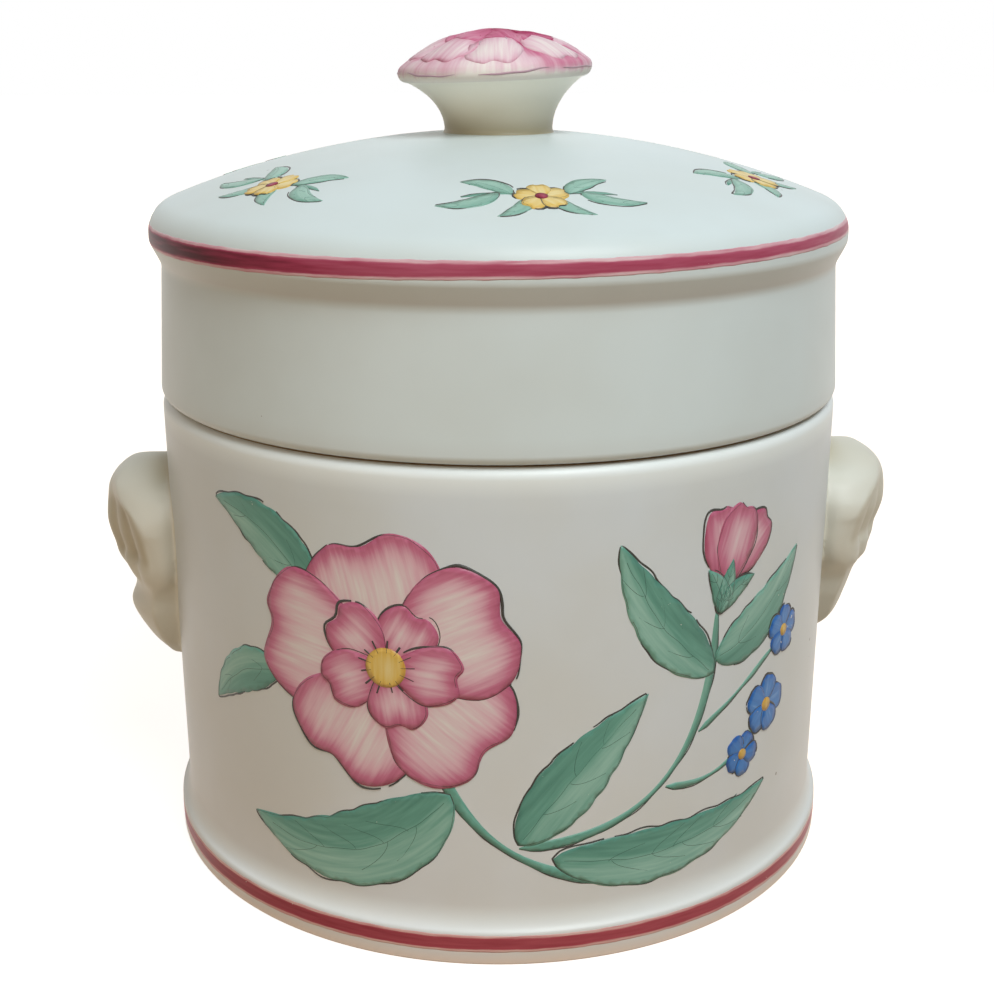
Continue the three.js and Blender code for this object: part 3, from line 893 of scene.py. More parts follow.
def lug_surface(base, side, tall):
    """Grid of a lug's outer points. A station runs along a cheek, over a ridge and across the front."""
    cheek = np.linspace(0, 1, CHEEK_STEPS, endpoint=False)
    front = np.linspace(1, 0, FACE_STEPS)
    rows = []
    for height, left, right, half, ridge_out, ridge_across in through(LUG_PROFILE, STATION_STEPS):
        reach = left if side == LEFT else right
        scooped = smoothstep(height, *SCOOP_FOOT) * (1 - smoothstep(height, *SCOOP_TOP))
        shell = smoothstep(height, LUG_NOTCH + 1, LUG_NOTCH + 4)
        fluted = shell * (1 - smoothstep(height, LUG_RIDGE - 2, LUG_HEIGHT))
        belly = CHEEK_BULGE * shell
        cheek_across = half * (1 - (1 - ridge_across) * cheek**2) + belly * np.sin(math.pi * cheek)
        hull = ridge_out + (1 - ridge_out) * (1 - front**KEEL)
        flutes = FLUTE_DEPTH * fluted * np.abs(np.sin(FRONT_FLUTES * math.pi * front))
        hollow = SCOOP_DEPTH * scooped * np.sin(math.pi * front)
        across = np.r_[cheek_across, half * ridge_across * front + 0.5 * flutes]
        out = np.r_[cheek * ridge_out * reach, np.maximum(reach * hull + flutes - hollow, 0)]
        droop = EDGE_DROOP * smoothstep(height, LUG_RIDGE, LUG_HEIGHT - 2) * (across / half) ** 2
        up = base + tall * height - droop
        half_rows = [np.r_[-across, across[-2::-1]], np.r_[up, up[-2::-1]], np.r_[out, out[-2::-1]]]
        rows.append(wall_grid(side, *half_rows))
    return np.array(rows)


def grid_faces(count, span, start=0):
    """Quads of a grid of points."""
    grid = start + np.arange(count * span).reshape(count, span)
    a, b, c, d = grid[:-1, :-1], grid[:-1, 1:], grid[1:, 1:], grid[1:, :-1]
    return np.stack([a, b, c, d], -1).reshape(-1, 4), grid


def closed_slab(front, back):
    """Points and faces of a slab between two grids of the same shape."""
    count, span = front.shape[:2]
    front_faces, grid = grid_faces(count, span)
    back_faces = front_faces[:, ::-1] + count * span
    rim = [*grid[0], *grid[1:, -1], *grid[-1, -2::-1], *grid[-2:0:-1, 0]]
    sides = [(p, p + count * span, q + count * span, q) for p, q in zip(rim, [*rim[1:], rim[0]])]
    points = np.concatenate([front.reshape(-1, 3), back.reshape(-1, 3)])
    return points, [tuple(map(int, face)) for face in [*front_faces, *back_faces, *sides]]


print("grid of a lug:", lug_surface(0.0, LEFT, 1.0).shape)

# %% [markdown]
# The lug and a thin plate under the wall's face are melted into one skin, which leaves a soft joint
# instead of a hard crease. Where the glaze pooled behind the top it is tinted olive, and the scooped
# front and the boss get painted shade.

# %% Press the lugs
BACK_SUNK = 1.6
PLATE_SUNK = 0.08
PLATE_MARGIN = 4.0
LUG_VOXEL = 0.33
LUG_SMOOTHING = 6


def press_lug(name, node, side, tall, scoop_painted_shade):
    """A lug and a plate just under the wall's face, melted into one skin with a soft joint."""
    base = box_mm(node)[0].z
    outer = lug_surface(base, side, tall)
    stations, left, right, half, ridge_out, _ = np.array(LUG_PROFILE).T
    wide = half.max() + PLATE_MARGIN
    across, up = np.meshgrid(np.linspace(-wide, wide, 20), np.linspace(base - 3, base + LUG_HEIGHT + 4, 24))
    plate = wall_grid(side, across, up, -PLATE_SUNK)
    behind = outer.copy()
    behind[..., :2] *= ((BODY_RADIUS - BACK_SUNK) / np.linalg.norm(outer[..., :2], axis=-1))[..., None]
    points, faces = closed_slab(outer, behind)
    plate_points, plate_faces = closed_slab(plate, wall_grid(side, across, up, -BACK_SUNK))
    faces += [tuple(v + len(points) for v in face) for face in plate_faces]
    mesh = bpy.data.meshes.new(name)
    mesh.from_pydata((np.concatenate([points, plate_points]) * MM).tolist(), [], faces)
    rough = new_piece(name, mesh)
    melt = rough.modifiers.new("melt", "REMESH")
    melt.mode = "VOXEL"
    melt.voxel_size = LUG_VOXEL * MM
    melt.use_smooth_shade = True
    soft = rough.modifiers.new("soft", "SMOOTH")
    soft.iterations = LUG_SMOOTHING
    depsgraph = bpy.context.evaluated_depsgraph_get()
    skin = bpy.data.meshes.new_from_object(rough.evaluated_get(depsgraph), depsgraph=depsgraph)
    bpy.data.objects.remove(rough)
    skin.materials.clear()
    skin.materials.append(lug_glaze)
    place = np.array([v.co for v in skin.vertices]) / MM
    out = np.hypot(place[:, 0], place[:, 1]) - BODY_RADIUS
    rise = place[:, 2] - base
    ridge = ridge_out * (left if side == LEFT else right)
    past_ridge = smoothstep(out - np.interp(rise, stations, ridge), 0.2, 1.2)
    # An olive stain pools behind the top; the scooped front past the ridge and the boss get painted shade
    in_scoop = past_ridge * smoothstep(rise, 18, 21) * (1 - smoothstep(rise, 28, 31))
    pooled = 0.55 * np.exp(-((out / 2.8) ** 2)) * smoothstep(rise, LUG_RIDGE + 7, LUG_HEIGHT - 1)
    boss_painted_shade = 0.08 * (1 - smoothstep(rise, 9, LUG_NOTCH + 2))
    store(skin, thin=np.clip(pooled + scoop_painted_shade * in_scoop + boss_painted_shade, 0, 1))
    print(f"{name}: {len(skin.polygons)} faces")
    return new_piece(name, skin)


# The right one came out of the mould a little lower, fuller in the shell and flatter in the boss
# The left lug's scooped front faces away from the key lamp and gets more painted shade
right_lug = press_lug("right_lug", "right_handle", RIGHT, tall=0.98, scoop_painted_shade=0.25)
left_lug = press_lug("left_lug", "left_handle", LEFT, tall=1.0, scoop_painted_shade=0.6)

# %% [markdown]
# ## Stripes
# The painter holds a loaded brush against the turning rim and foot, so a stripe is nearly true but
# wanders a little, and its edges are ragged and pink where stray hairs left thin paint. Each is a thin
# closed band that follows the profile under it, and the two ends of the stroke meet at the back.

# %% Paint the stripes
ENAMEL_SUNK = 0.12
ENAMEL_PROUD = 0.04
FEATHERED = 0.012  # at its edges, just over the facets of the glaze
BAND_COLUMNS = 1080
BAND_ROWS = 16
FRINGE = (0.3, 0.65)  # millimetres from the edge at which thin paint ends and full paint starts
RAGGED = 0.025
RAGGED_WAVES = 60
WANDER_PARTS = (1, 1.5, 2.5, 4.5, 7)
EDGE_LOAD = 0.13


def outside(section, low, high):
    """A function that reads the outside radius at a height from a section line between two heights."""
    line = [(z, r) for r, z in section if r > BODY_RADIUS - 2 and low < z < high]
    return lambda height: float(np.interp(height, *zip(*sorted(line))))


def wander(turn, seed, size, waves=2):
    """A smooth hand-drawn wobble round the pot, with that many waves or more."""
    draw = random.Random(seed)
    parts = [math.sin(round(waves * k) * turn + draw.uniform(0, math.tau)) / k for k in WANDER_PARTS]
    return size * sum(parts)


def stripe(name, radius_at, middle, width, load, finish, seed):
    """A band of enamel. Its middle, width and load of paint are functions of the angle from the front."""
    points, strength, along, across = [], [], [], []
    shares = np.linspace(-1, 1, BAND_ROWS + 1)
    loop = [(s, True) for s in shares] + [(s, False) for s in shares[::-1]]
    for column in range(BAND_COLUMNS):
        turn = math.tau * column / BAND_COLUMNS - math.pi
        below, above = (width(turn) / 2 + wander(turn, seed + k, RAGGED, RAGGED_WAVES) for k in (0, 1))
        for share, on_top in loop:
            off_middle = share * (above if share > 0 else below)
            height = middle(turn) + off_middle
            from_edge = (1 - abs(share)) * width(turn) / 2
            feathered = mixed(FEATHERED, ENAMEL_PROUD, smoothstep(from_edge, 0, FRINGE[1]))
            reach = radius_at(height) + (feathered if on_top else -ENAMEL_SUNK)
            points.append((reach * math.sin(turn) * MM, -reach * math.cos(turn) * MM, height * MM))
            strength.append(mixed(EDGE_LOAD, load(turn), smoothstep(from_edge, *FRINGE)))
            along.append(turn * reach)
            across.append(off_middle)
    span = len(loop)
    faces = []
    for column in range(BAND_COLUMNS):
        here, after = column * span, (column + 1) % BAND_COLUMNS * span
        for k in range(span):
            n = (k + 1) % span
            faces.append((here + k, after + k, after + n, here + n))
    mesh = bpy.data.meshes.new(name)
    mesh.from_pydata(points, [], faces)
    mesh.polygons.foreach_set("use_smooth", [k % span < BAND_ROWS for k in range(len(faces))])
    store(mesh, strength=strength, along=along, across=across, brush=np.zeros(len(points)))
    mesh.materials.append(finish)
    print(f"{name}: {len(faces)} faces")
    return new_piece(name, mesh)


rim_stripe = stripe(
    "rim_stripe",
    outside(lid_section, RIM_HEIGHT - 4, RIM_HEIGHT + 4),
    middle=lambda turn: RIM_HEIGHT + 0.75 + 0.7 * math.sin(turn) + wander(turn, 3, 0.05),
    width=lambda turn: 2.5 - 0.5 * math.sin(turn) + wander(turn, 5, 0.06),
    # Painted shade: the load rises on the left, the side away from the key lamp
    load=lambda turn: 0.44 + 0.55 * smoothstep(-math.sin(turn), 0.15, 0.95) + wander(turn, 8, 0.05),
    finish=rim_red,
    seed=21,
)
foot_stripe = stripe(
    "foot_stripe",
    outside(pot_section, 0, 20),
    middle=lambda turn: 2.8 + 0.7 * math.cos(turn) + wander(turn, 7, 0.05),
    width=lambda turn: 2.7 + wander(turn, 11, 0.07),
    # Painted shade: the load rises a little towards the left, away from the key lamp
    load=lambda turn: 0.5 - 0.1 * math.sin(turn) + wander(turn, 13, 0.05),
    finish=foot_red,
    seed=31,
)

# %% [markdown]
# ## Drawing flat, then wrapping
# A painter thinks of a spray as a flat drawing, so it is drawn flat here too, in millimetres to the
# right and up, and then laid on the wall or the dome. Each leaf or petal is an outline along a spine.
# Delaunay triangles fill it finely enough to bend with the pot, and a closed thin skin is made of them.

# %% Outlines and fills
FILL_STEP = 0.75
OUTLINE_STEP = 0.5
SPINE_STEPS = 60


def closed_curve(corners, steps=9):
    """A smooth closed loop through a few corners."""
    around = [np.roll(np.array(corners, float), -j, axis=0) for j in (-1, 0, 1, 2)]
    return np.concatenate([smooth_span(*four, steps) for four in zip(*around)])


def along_spine(spine, local):
    """Moves points of (right of the spine, distance along it) onto a spine of start, control and end."""
    line = bezier(*spine, SPINE_STEPS)
    lengths = np.r_[0, np.cumsum(np.linalg.norm(np.diff(line, axis=0), axis=1))]
    tangent = np.gradient(line, axis=0)
    tangent /= np.linalg.norm(tangent, axis=1)[:, None]
    reach = local[:, 1]
    inside = np.clip(reach, 0, lengths[-1])
    centre = np.c_[np.interp(inside, lengths, line[:, 0]), np.interp(inside, lengths, line[:, 1])]
    ahead = np.c_[np.interp(inside, lengths, tangent[:, 0]), np.interp(inside, lengths, tangent[:, 1])]
    right = np.c_[ahead[:, 1], -ahead[:, 0]]
    return centre + right * local[:, :1] + ahead * (reach - inside)[:, None]


def spine_length(spine):
    """Length of a spine in millimetres."""
    return float(np.linalg.norm(np.diff(bezier(*spine, SPINE_STEPS), axis=0), axis=1).sum())


print(f"a straight spine of 10 mm measures {spine_length(((0, 0), (5, 0), (10, 0))):.2f} mm")

# %% Fill an outline
def edge_distance(points, loop):
    """Distance of each point from a closed loop, in the loop's own units."""
    start, end = loop, np.roll(loop, -1, axis=0)
    run = end - start
    share = ((points[:, None] - start) * run).sum(-1) / np.maximum((run * run).sum(-1), 1e-12)
    nearest = start + np.clip(share, 0, 1)[..., None] * run
    return np.linalg.norm(points[:, None] - nearest, axis=-1).min(1)


def inside_loop(points, loop):
    """Even-odd test of points against a closed loop."""
    x, y = points[:, :1], points[:, 1:]
    x0, y0 = loop[:, 0], loop[:, 1]
    x1, y1 = np.roll(x0, -1), np.roll(y0, -1)
    crosses = (y0 > y) != (y1 > y)
    rise = np.where(y1 == y0, 1e-9, y1 - y0)
    return (crosses & (x < (x1 - x0) * (y - y0) / rise + x0)).sum(1) % 2 == 1


def fill(loop):
    """Points and triangles that fill a loop, its own points first."""
    low, high = loop.min(0), loop.max(0)
    lines = np.arange(low[1], high[1], FILL_STEP * 0.87)
    spots = [
        (x, y)
        for k, y in enumerate(lines)
        for x in np.arange(low[0] + k % 2 * FILL_STEP / 2, high[0], FILL_STEP)
    ]
    spots = np.array(spots)
    spots = spots[inside_loop(spots, loop)]
    if len(spots):
        spots = spots[edge_distance(spots, loop) > FILL_STEP * 0.45]
    corners = [Vector(p) for p in [*loop, *spots]]
    points, _, faces, *_ = delaunay_2d_cdt(corners, [], [list(range(len(loop)))], 1, 1e-6)
    points = np.array([tuple(p) for p in points])
    used = sorted({v for face in faces for v in face})
    place = {old: new for new, old in enumerate(used)}
    return points[used], [tuple(place[v] for v in face) for face in faces]


sample_loop = closed_curve([(0, 0), (8, 2), (10, 10), (2, 8)])
print("a loop 10 mm wide is filled with", len(fill(sample_loop)[1]), "triangles")

# %% [markdown]
# Thin lines are strokes of a pointed brush. A curve's bevel could make them, but a Geometry Nodes tree
# shows how it is done: it sweeps a small circle along each stroke, scaled by the radius at every point,
# so that a line swells and thins as the hand presses.

# %% The sweeping tree
BRUSH_SIDES = 6
brush, brush_in = new_tree("sweep_a_round_brush", Sides="NodeSocketInt", Finish="NodeSocketMaterial")
tip = add_node(
    brush, "GeometryNodeCurvePrimitiveCircle", {"Resolution": brush_in["Sides"], "Radius": 1.0}, mode="RADIUS"
)
width = add_node(brush, "GeometryNodeInputRadius").outputs[0]
swept = add_node(
    brush,
    "GeometryNodeCurveToMesh",
    {"Curve": brush_in["Geometry"], "Profile Curve": tip.outputs["Curve"], "Scale": width, "Fill Caps": True},
)
close_tree(brush, swept.outputs["Mesh"], brush_in["Finish"])
print(brush.name, "has", len(brush.nodes), "nodes")


def sweep(name, strokes, finish):
    """One mesh of round strokes. Each stroke is its points and its radii, in millimetres."""
    curve = bpy.data.curves.new(name, "CURVE")
    curve.dimensions = "3D"
    for points, radii in strokes:
        spline = curve.splines.new("POLY")
        spline.points.add(len(points) - 1)
        spline.points.foreach_set("co", np.c_[np.array(points) * MM, np.ones(len(points))].ravel())
        spline.points.foreach_set("radius", np.array(radii) * MM)
    piece = bpy.data.objects.new(name, curve)
    bpy.context.scene.collection.objects.link(piece)
    return grow(piece, brush, Sides=BRUSH_SIDES, Finish=finish)


# %% [markdown]
# A painting keeps the skins and lines of one surface until the drawing is done. Each dab of paint is a
# closed skin: a top a few hundredths of a millimetre over the glaze, a bottom under it and a border
# between. Later dabs lie a layer higher, as paint over paint does. All the hand's small errors come from
# one seeded source.

# %% Skins and hand-drawn lines
LAYER = 0.022
LINE_OVER = 0.018
hand = random.Random(1907)


class Painting:
    """Skins and lines that wait to be laid on one surface, kept by finish."""

    def __init__(self, lay):
        self.lay = lay
        self.skins = {}
        self.lines = {}

    def dab(self, finish, loop, spine, layer, strength):
        """Fills an outline along a spine. strength takes share along, and mm across and from the edge."""
        points, faces = fill(loop)
        length = spine_length(spine)
        depth = edge_distance(points, loop)
        tone = strength(points[:, 1] / length, points[:, 0], depth)
        flat = along_spine(spine, points)
        top = self.lay(flat, ENAMEL_PROUD + LAYER * layer)
        under = self.lay(flat, np.full(len(flat), -ENAMEL_SUNK))
        edges = {}
        for face in faces:
            for a, b in zip(face, (*face[1:], face[0])):
                edges[(a, b)] = True
        border = [(a, b) for a, b in edges if (b, a) not in edges]
        count = len(points)
        solid = [*faces, *(tuple(v + count for v in face[::-1]) for face in faces)]
        solid += [(b, a, a + count, b + count) for a, b in border]
        skin = self.skins.setdefault(finish.name, {"points": [], "faces": [], "marks": []})
        start = sum(len(p) for p in skin["points"])
        skin["points"] += [top, under]
        skin["faces"] += [tuple(v + start for v in face) for face in solid]
        marks = np.c_[tone, points[:, 1], points[:, 0], np.full(count, hand.uniform(0, 90))]
        skin["marks"] += [marks, marks]
        return along_spine(spine, loop)

    def draw(self, line, width, layer, wobble=0.16, taper=(0.4, 0.4), ink=line_brown):
        """A fine line of the pointed brush through flat points."""
        line = np.array(line, float)
        steps = np.r_[0, np.cumsum(np.linalg.norm(np.diff(line, axis=0), axis=1))]
        count = max(4, int(steps[-1] / OUTLINE_STEP))
        at = np.linspace(0, steps[-1], count)
        drawn = np.c_[np.interp(at, steps, line[:, 0]), np.interp(at, steps, line[:, 1])]
        phase = [hand.uniform(0, math.tau) for _ in range(4)]
        for axis in (0, 1):
            slow, quick = np.sin(at / 2.1 + phase[axis]), np.sin(at / 0.9 + phase[axis + 2])
            drawn[:, axis] += wobble * slow + 0.5 * wobble * quick
        share = np.linspace(0, 1, count)
        landing = mixed(taper[0], 1, np.clip(share * 5, 0, 1))
        leaving = mixed(taper[1], 1, np.clip((1 - share) * 5, 0, 1))
        press = np.minimum(landing, leaving)
        radius = width / 2 * press * (1 + 0.28 * np.sin(at / 3.3 + phase[0]))
        proud = ENAMEL_PROUD + LAYER * layer + LINE_OVER
        self.lines.setdefault(ink.name, []).append((self.lay(drawn, proud - radius), radius))

    def outline(self, loop, width, layer, breaks=2, shift=0.25):
        """A loop drawn in a few strokes that don't quite meet, a little off the paint."""
        start = hand.randrange(len(loop))
        off = np.array([hand.uniform(-shift, shift), hand.uniform(-shift, shift)])
        loop = np.roll(loop, -start, axis=0) + off
        pieces = np.array_split(np.arange(len(loop)), breaks)
        for part in pieces:
            skip = hand.randrange(1, 1 + max(1, len(part) // 7))
            self.draw(loop[part[: len(part) - skip + 1]], width * hand.uniform(0.8, 1.15), layer)


print("a layer of paint is", LAYER, "mm thick")

# %% Lay a drawing on the wall or the dome
def on_wall(flat, lift):
    """Flat drawing to the pot's wall: right is round the wall from the camera's side, up is height."""
    reach = wall_radius(flat[:, 1])
    angle = FRONT_TURN + flat[:, 0] / BODY_RADIUS
    out = reach + lift
    return np.c_[out * np.sin(angle), -out * np.cos(angle), flat[:, 1]]


def on_dome(flat, lift):
    """Flat drawing to the lid: right is round the lid, up is from the ring of sprigs towards the knob."""
    distance = SPRIG_RING - flat[:, 1]
    angle = flat[:, 0] / SPRIG_RING
    centre = np.c_[distance * np.sin(angle), -distance * np.cos(angle), np.zeros(len(flat))]
    centre[:, 2] = np.sqrt(DOME_RADIUS**2 - distance**2)
    grown = centre * (1 + np.asarray(lift) / DOME_RADIUS)[..., None]
    grown[:, 2] += DOME_CENTRE
    return grown


FRONT_TURN = math.radians(-4.0)
SPRIG_RING = 42.0
wall_painting = Painting(on_wall)
lid_painting = Painting(on_dome)
print(f"front turned by {math.degrees(FRONT_TURN):.0f} degrees, sprigs {SPRIG_RING:.0f} mm from the axis")

# %% [markdown]
# ## Leaves, petals and stems
# Four small builders give every plant form: a leaf with toothed edges and veins, a petal with a notched
# tip, a stem of one brush stroke and a round heart. Paint is stronger where the brush was loaded: at a
# petal's edge and root, and along a leaf's shaded half.

# %% Leaves
def leaf(painting, spine, width, layer=0, teeth=7, line=0.68, load=1.0):
    """A green leaf along a spine, with its outline and veins. load is how much paint the brush held."""
    length = spine_length(spine)
    share = np.linspace(0, 1, 44)
    half = width / 2 * np.sin(math.pi * share**0.72) ** 0.85
    half = half + 0.035 * width * np.sin(math.pi * share) * np.abs(np.sin(teeth * math.pi * share))
    lean = hand.uniform(0.85, 1.0)
    right = np.c_[half, share * length]
    left = np.c_[-half * lean, share * length][-2:0:-1]
    loop = np.concatenate([right, left])
    shaded = hand.choice((-1, 1))

    def tone(along, across, depth):
        half_dark = 0.22 * shaded * np.tanh(across / (0.12 * width))
        return load * (0.45 + half_dark + 0.25 * np.exp(-depth / 0.5) - 0.15 * along)

    drawn = painting.dab(leaf_green, loop, spine, layer, tone)
    painting.outline(drawn, line, layer, breaks=2, shift=0.2)
    vein = np.c_[np.zeros(20), np.linspace(0.04, 0.9, 20) * length]
    painting.draw(along_spine(spine, vein), line * 1.4, layer, 0.12, taper=(0.9, 0.2), ink=vein_green)
    for at in np.linspace(0.22, 0.66, max(2, int(length / 8))):
        for side in (-1, 1):
            start = at + hand.uniform(-0.03, 0.03)
            reach = 0.34 * width * math.sin(math.pi * at**0.72) * hand.uniform(0.75, 1.1)
            run = np.linspace(0, 1, 9)
            rib = np.c_[side * reach * run, (start + 0.15 * run**1.6) * length]
            drawn = along_spine(spine, rib)
            painting.draw(drawn, line * 1.2, layer, wobble=0.05, taper=(0.9, 0.15), ink=vein_green)


print("leaves are filled with", leaf_green.name, "and veined with", vein_green.name)

# %% Petals, stems and hearts
def petal(painting, finish, spine, width, layer, tone, notch=0.06, line=0.52):
    """A petal along a spine, narrow at the root and notched at the tip. With no line it has no outline."""
    length = spine_length(spine)
    dent = notch * length
    uneven = hand.uniform(-0.05, 0.05) * width
    corners = [
        (0, 0),
        (0.24 * width, 0.2 * length),
        (0.47 * width, 0.52 * length),
        (0.45 * width + uneven, 0.82 * length),
        (0.22 * width, 0.99 * length),
        (0 + uneven, length - dent),
        (-0.24 * width, length),
        (-0.46 * width + uneven, 0.8 * length),
        (-0.46 * width, 0.5 * length),
        (-0.22 * width, 0.18 * length),
    ]
    loop = closed_curve(corners)
    drawn = painting.dab(finish, loop, spine, layer, tone)
    if line:
        painting.outline(drawn, line, layer, breaks=2)


def stem(painting, spine, width, layer=0, line=0.44):
    """A stem of one stroke, with a fine line down its shaded side."""
    length = spine_length(spine)
    share = np.linspace(0, 1, max(8, int(length / 1.5)))
    half = width / 2 * (0.75 + 0.25 * np.sin(3 * share * math.pi + 0.6))
    half = half * np.sqrt(np.clip(np.minimum(share, 1 - share) / 0.05, 0.04, 1))
    loop = np.concatenate([np.c_[half, share * length], np.c_[-half, share * length][::-1]])
    painting.dab(leaf_green, loop, spine, layer, lambda along, across, depth: 0.5 + 0.3 * across / width)
    side = np.c_[half + 0.05, share * length]
    painting.draw(along_spine(spine, side), line, layer, wobble=0.1)


def rose_tone(along, across, depth):
    """Crimson at the petal's rim and root, nearly white in its middle."""
    rim = np.exp(-((depth / 2.4) ** 1.3))
    root = np.exp(-((along / 0.3) ** 2))
    return 0.1 + 0.75 * rim * np.clip(0.35 + along, 0, 1) + 0.6 * root


STAMEN_WIDTH = 0.34


def heart(painting, finish, centre, radius, layer, dots):
    """A round heart with a ring of stamens."""
    spine = ((centre[0], centre[1] - radius), centre, (centre[0], centre[1] + radius))
    turns = np.linspace(0, math.tau, 28, endpoint=False)
    loop = np.c_[radius * np.cos(turns), radius + radius * np.sin(turns)]
    painting.dab(finish, loop, spine, layer, lambda along, across, depth: 0.35 + 0.5 * np.exp(-depth / 0.8))
    for k in range(dots):
        turn = math.tau * (k + 0.3 * hand.random()) / dots
        way = np.array([math.cos(turn), math.sin(turn)])
        start = np.array(centre) + way * radius * 0.75
        end = start + way * radius * hand.uniform(0.5, 0.75)
        painting.draw([start, end], STAMEN_WIDTH, layer, wobble=0.0, taper=(0.5, 1.6))


print("plant forms:", ", ".join(form.__name__ for form in (leaf, petal, stem, heart)))

# %% [markdown]
# ## The spray on the front
# The pot's front carries a loose spray in the country-faience manner: an open rose, a bud, small blue
# flowers and toothed leaves on thin stems. It is this lesson's own drawing, in the colours and at the
# scale that such pots have.

# %% Whole flowers
def flower(painting, finish, centre, radius, count, start, layer, width, tone, squash=1.0, notch=0.06):
    """Petals round a centre, each over the one before."""
    for k in range(count):
        turn = start + math.tau * k / count
        reach = radius * hand.uniform(0.94, 1.05)
        tip = (centre[0] + reach * math.cos(turn), centre[1] + squash * reach * math.sin(turn))
        sway = hand.uniform(-0.06, 0.06) * radius
        control = (
            (centre[0] + tip[0]) / 2 - sway * math.sin(turn),
            (centre[1] + tip[1]) / 2 + sway * math.cos(turn),
        )
        petal(painting, finish, (centre, control, tip), width * reach, layer + k, tone, notch)


print("enamels of the flowers:", petal_pink.name, bud_blue.name, heart_yellow.name)

# %% Draw the spray
ROSE = (-16.0, 46.0)
BUD = (35.0, 57.0)
STEMS = [
    (((-8, 30), (-2, 15), (19, 11.5)), 1.7),
    (((3, 18.5), (34, 20), (33.5, 52)), 1.5),
    (((25.5, 25.5), (36, 23), (44, 31)), 1.1),
    (((31, 33), (40, 38), (47, 42)), 1.0),
]
LEAVES = [
    (((-7, 27), (-20, 10), (-41, 17)), 12.0),
    (((8, 16.5), (28, 12), (47, 20)), 9.0),
    (((3, 19), (9, 28), (22, 41)), 9.5),
    (((33.5, 42), (22, 50), (17, 64)), 8.0),
    (((33.5, 44), (44, 46), (53, 57)), 8.0),
    (((-27, 55), (-36, 66), (-47, 66)), 8.5),
    (((-34, 42), (-44, 41), (-50, 33)), 7.0),
]
FORGET_ME_NOTS = [((46, 33), 4.6), ((50, 44), 4.0), ((40.5, 26.5), 3.6)]
for spine, width in STEMS:
    stem(wall_painting, spine, width)
for spine, width in LEAVES:
    leaf(wall_painting, spine, width, layer=1)
flower(
    wall_painting,
    petal_pink,
    ROSE,
    radius=20.5,
    count=5,
    start=math.radians(100),
    layer=2,
    width=1.02,
    tone=rose_tone,
    squash=0.9,
)
flower(
    wall_painting,
    petal_pink,
    ROSE,
    radius=11.0,
    count=5,
    start=math.radians(64),
    layer=7,
    width=0.86,
    tone=rose_tone,
    squash=0.9,
)
heart(wall_painting, heart_yellow, ROSE, radius=3.0, layer=12, dots=13)
for centre, radius in FORGET_ME_NOTS:
    flower(
        wall_painting,
        bud_blue,
        centre,
        radius,
        count=5,
        start=hand.uniform(0, 1.2),
        layer=2,
        width=0.95,
        tone=lambda along, across, depth: 0.35 + 0.4 * np.exp(-depth / 0.6) + 0.2 * along,
        notch=0.0,
    )
    heart(wall_painting, heart_yellow, centre, radius * 0.24, layer=7, dots=0)
for lean, width, layer in ((-24, 7.5, 2), (26, 7.5, 3), (2, 8.0, 4)):
    way = math.radians(72 + lean)
    tip = (BUD[0] + 13 * math.cos(way), BUD[1] - 3 + 13 * math.sin(way))
    spine = ((BUD[0], BUD[1] - 3), BUD, tip)
    petal(wall_painting, petal_pink, spine, width, layer, rose_tone, notch=0.02)
for lean in (-46, 44, 4):
    way = math.radians(76 + lean)
    tip = (BUD[0] + 7 * math.cos(way), BUD[1] - 5 + 7 * math.sin(way))
    spine = ((BUD[0] - 1, BUD[1] - 6), (BUD[0], BUD[1] - 3), tip)
    leaf(wall_painting, spine, width=3.2, layer=5, teeth=2, line=0.3)
print("skins:", {name: len(skin["faces"]) for name, skin in wall_painting.skins.items()})
print("lines:", {name: len(lines) for name, lines in wall_painting.lines.items()})

# %% [markdown]
# The drawing is now laid on the wall: one mesh for the skins of each enamel and one for its lines. A
# piece for every petal would do as well, but a few large pieces are easier to handle.

# %% Lay the spray on the wall
def skin_piece(name, skin, finish):
    """One mesh of all the skins of a finish."""
    mesh = bpy.data.meshes.new(name)
    mesh.from_pydata((np.concatenate(skin["points"]) * MM).tolist(), [], skin["faces"])
    marks = np.concatenate(skin["marks"])
    store(mesh, strength=marks[:, 0], along=marks[:, 1], across=marks[:, 2], brush=marks[:, 3])
    mesh.shade_smooth()
    mesh.materials.append(finish)
    return new_piece(name, mesh)


def line_piece(name, lines, finish):
    """One mesh of all the lines of a finish that a pointed brush drew."""
    piece = sweep(name, lines, finish)
    flat = np.zeros(len(piece.data.vertices))
    store(piece.data, strength=flat + 0.7, along=flat, across=flat, brush=flat)
    return piece


def laid_pieces(prefix, painting):
    """Every skin and every line of a painting as a piece, with its finish."""
    made = []
    for kept, make in ((painting.skins, skin_piece), (painting.lines, line_piece)):
        for name, held in kept.items():
            piece = make(prefix + FINISH_PIECES[name], held, finishes[name])
            made.append((piece, finishes[name]))
    return made


finishes = {m.name: m for m in bpy.data.materials}
FINISH_PIECES = {
    petal_pink.name: "petals",
    knob_pink.name: "petals",
    leaf_green.name: "leaves",
    bud_blue.name: "blue_flowers",
    heart_yellow.name: "hearts",
    rim_red.name: "red_hearts",
    line_brown.name: "lines",
    vein_green.name: "veins",
    line_mauve.name: "lines",
}
spray = [piece for piece, _ in laid_pieces("spray_", wall_painting)]
print({piece.name: len(piece.data.polygons) for piece in spray})

# %% [markdown]
# ## Sprigs round the lid
# The dome has small sprigs spaced round it. One is drawn at the front, and a Geometry Nodes tree sets
# copies of it round the axis: the dome is the same all the way round, so a turned copy fits it exactly.

# %% Draw one sprig
SPRIG_FLOWER = (0, 0.5)
